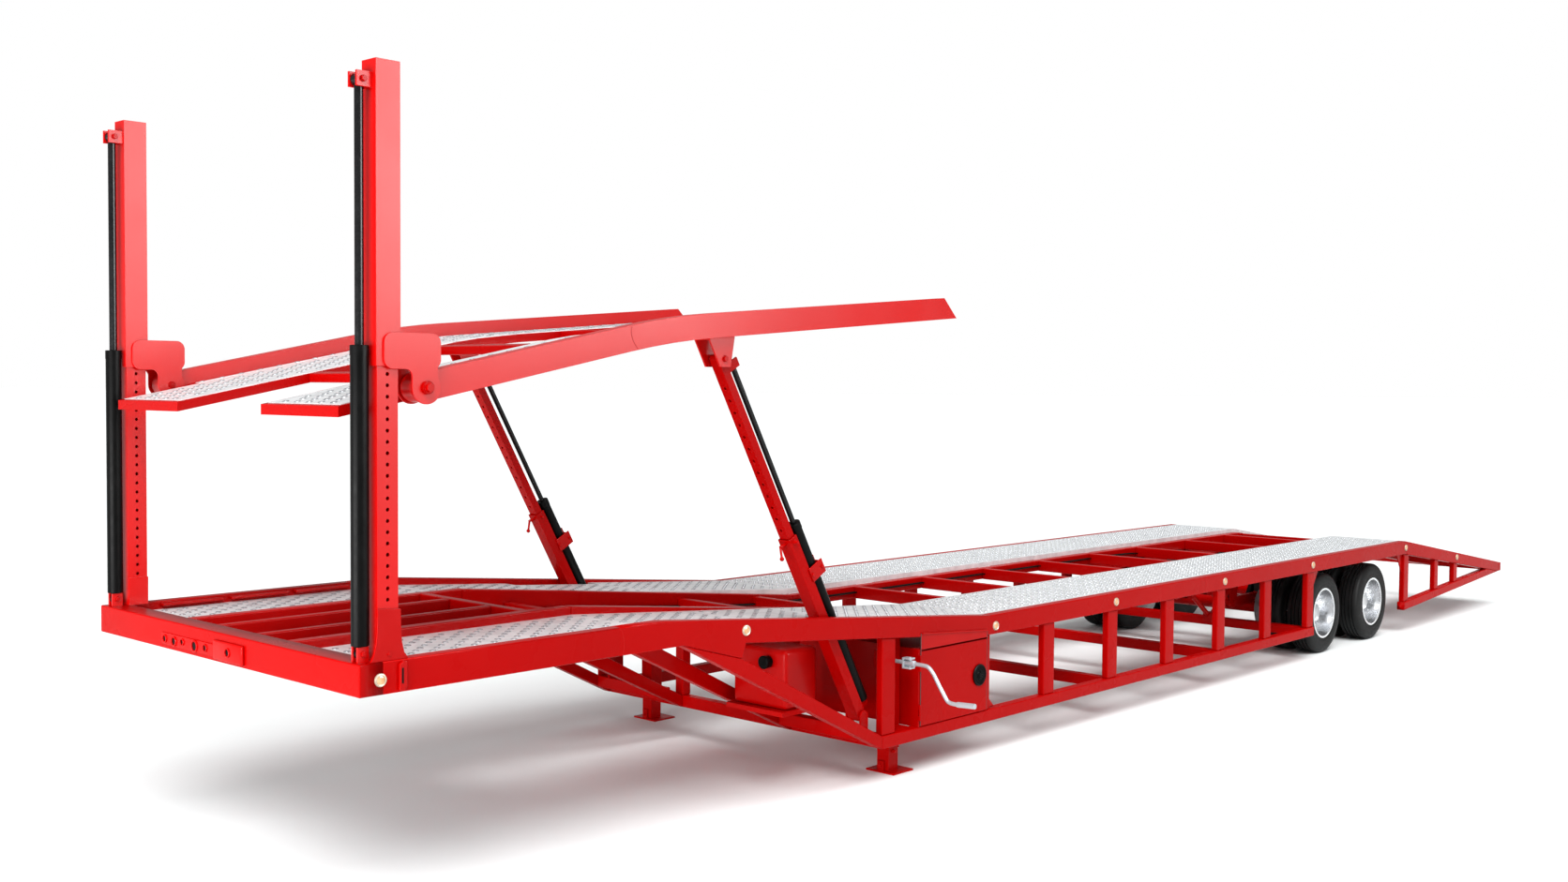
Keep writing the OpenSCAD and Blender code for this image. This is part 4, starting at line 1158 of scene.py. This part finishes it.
for name, group, width, look in (
        ("brake_drums", drums, 0.002, "bare_steel"), ("brake_gear", red_gear, 0.002, "red_plate_paint"),
        ("shock_bodies", black_gear, 0.003, "black_paint"), ("shock_rods", bright_gear, 0.001, "zinc_plate")):
    piece = join(name, group)
    round_edges(piece, width, 1, smooth=False)
    both_sides(shade(piece, 30), name, "chassis", look)

# %% [markdown]
# ## Brake lines
# Two brake lines run back along the inner rail, from the neck to the axles.

# %% Brake lines
line_route = [(1.7, 1.07), (2.3, 1.03), (3.2, 0.95), (4.2, 0.86), (4.8, 0.84), (6.0, 0.84), (8.0, 0.84),
              (9.6, 0.84), (9.75, 0.80), (9.85, 0.68)]
lines = [line_along("line", [at(back, left, up) for back, up in line_route], 0.006)
         for left in (0.462, 0.444)]
both_sides(join("brake_lines", lines), "brake_lines", "chassis", "black_paint")

# %% [markdown]
# ## Pump box
# The pump for the cylinders sits in a red box under the slope, between the rails,
# with a round filler neck on its front.

# %% Pump box
pump_box = bar("pump_body", at(3.02, 0.60, 0.50), at(3.30, 1.04, 0.86))
apply_modifier(pump_box, "BEVEL", width=0.03, segments=4, limit_method="ANGLE")
pump_shelf = bar("pump_shelf", at(2.98, 0.585, 0.47), at(3.34, 1.05, 0.498))
pump_tie = bar("pump_tie", at(3.10, 0.60, 0.80), at(3.18, 0.548, 0.84))
give(shade(join("pump_box", [pump_box, pump_shelf, pump_tie]), 30))
filler_section = [(0, 0), (0, 0.035), (0.03, 0.035), (0.034, 0.04), (0.05, 0.04), (0.054, 0.034), (0.054, 0)]
filler = turned("pump_filler", filler_section, at(3.018, 0.90, 0.78), (1, 0, 0), 28)
give(shade(filler, 30), "chassis", "black_paint")

# %% [markdown]
# ## Landing feet
# Each foot is locked by a pin through its leg. The pin ends in a bolt head, and a
# second bolt stands on the front of the foot.

# %% Landing feet
leg_back, leg_left, pin_up = 3.904, half_width - 0.195, 0.135
foot_pins = [
    pin("shank", at(leg_back, leg_left - 0.064, pin_up), at(leg_back, leg_left + 0.07, pin_up), 0.009, 20),
    hex_bolt("head", at(leg_back, leg_left + 0.047, pin_up), (0, 1, 0), 0.014),
    hex_bolt("head", at(leg_back - 0.07, leg_left, 0.045), (1, 0, 0), 0.012)]
both_sides(join("foot_pins", foot_pins), "foot_pins")

# %% [markdown]
# ## Tail
# The rear bar ends in short tubes that stick out behind, for the loading ramps.

# %% Tail
tube_section = [(0, 0.024), (0, 0.036), (0.003, 0.038), (0.1, 0.038), (0.103, 0.036), (0.103, 0.03),
                (0.02, 0.028), (0, 0.024)]
ramp_tubes = [turned("ramp_tube", tube_section, Vector((rear_face + 0.004, left, ground_z + 0.425)),
                     (-1, 0, 0), 32) for left in (0.62, 1.22)]
both_sides(shade(join("ramp_tubes", ramp_tubes), 30), "ramp_tubes")

clear_selection()
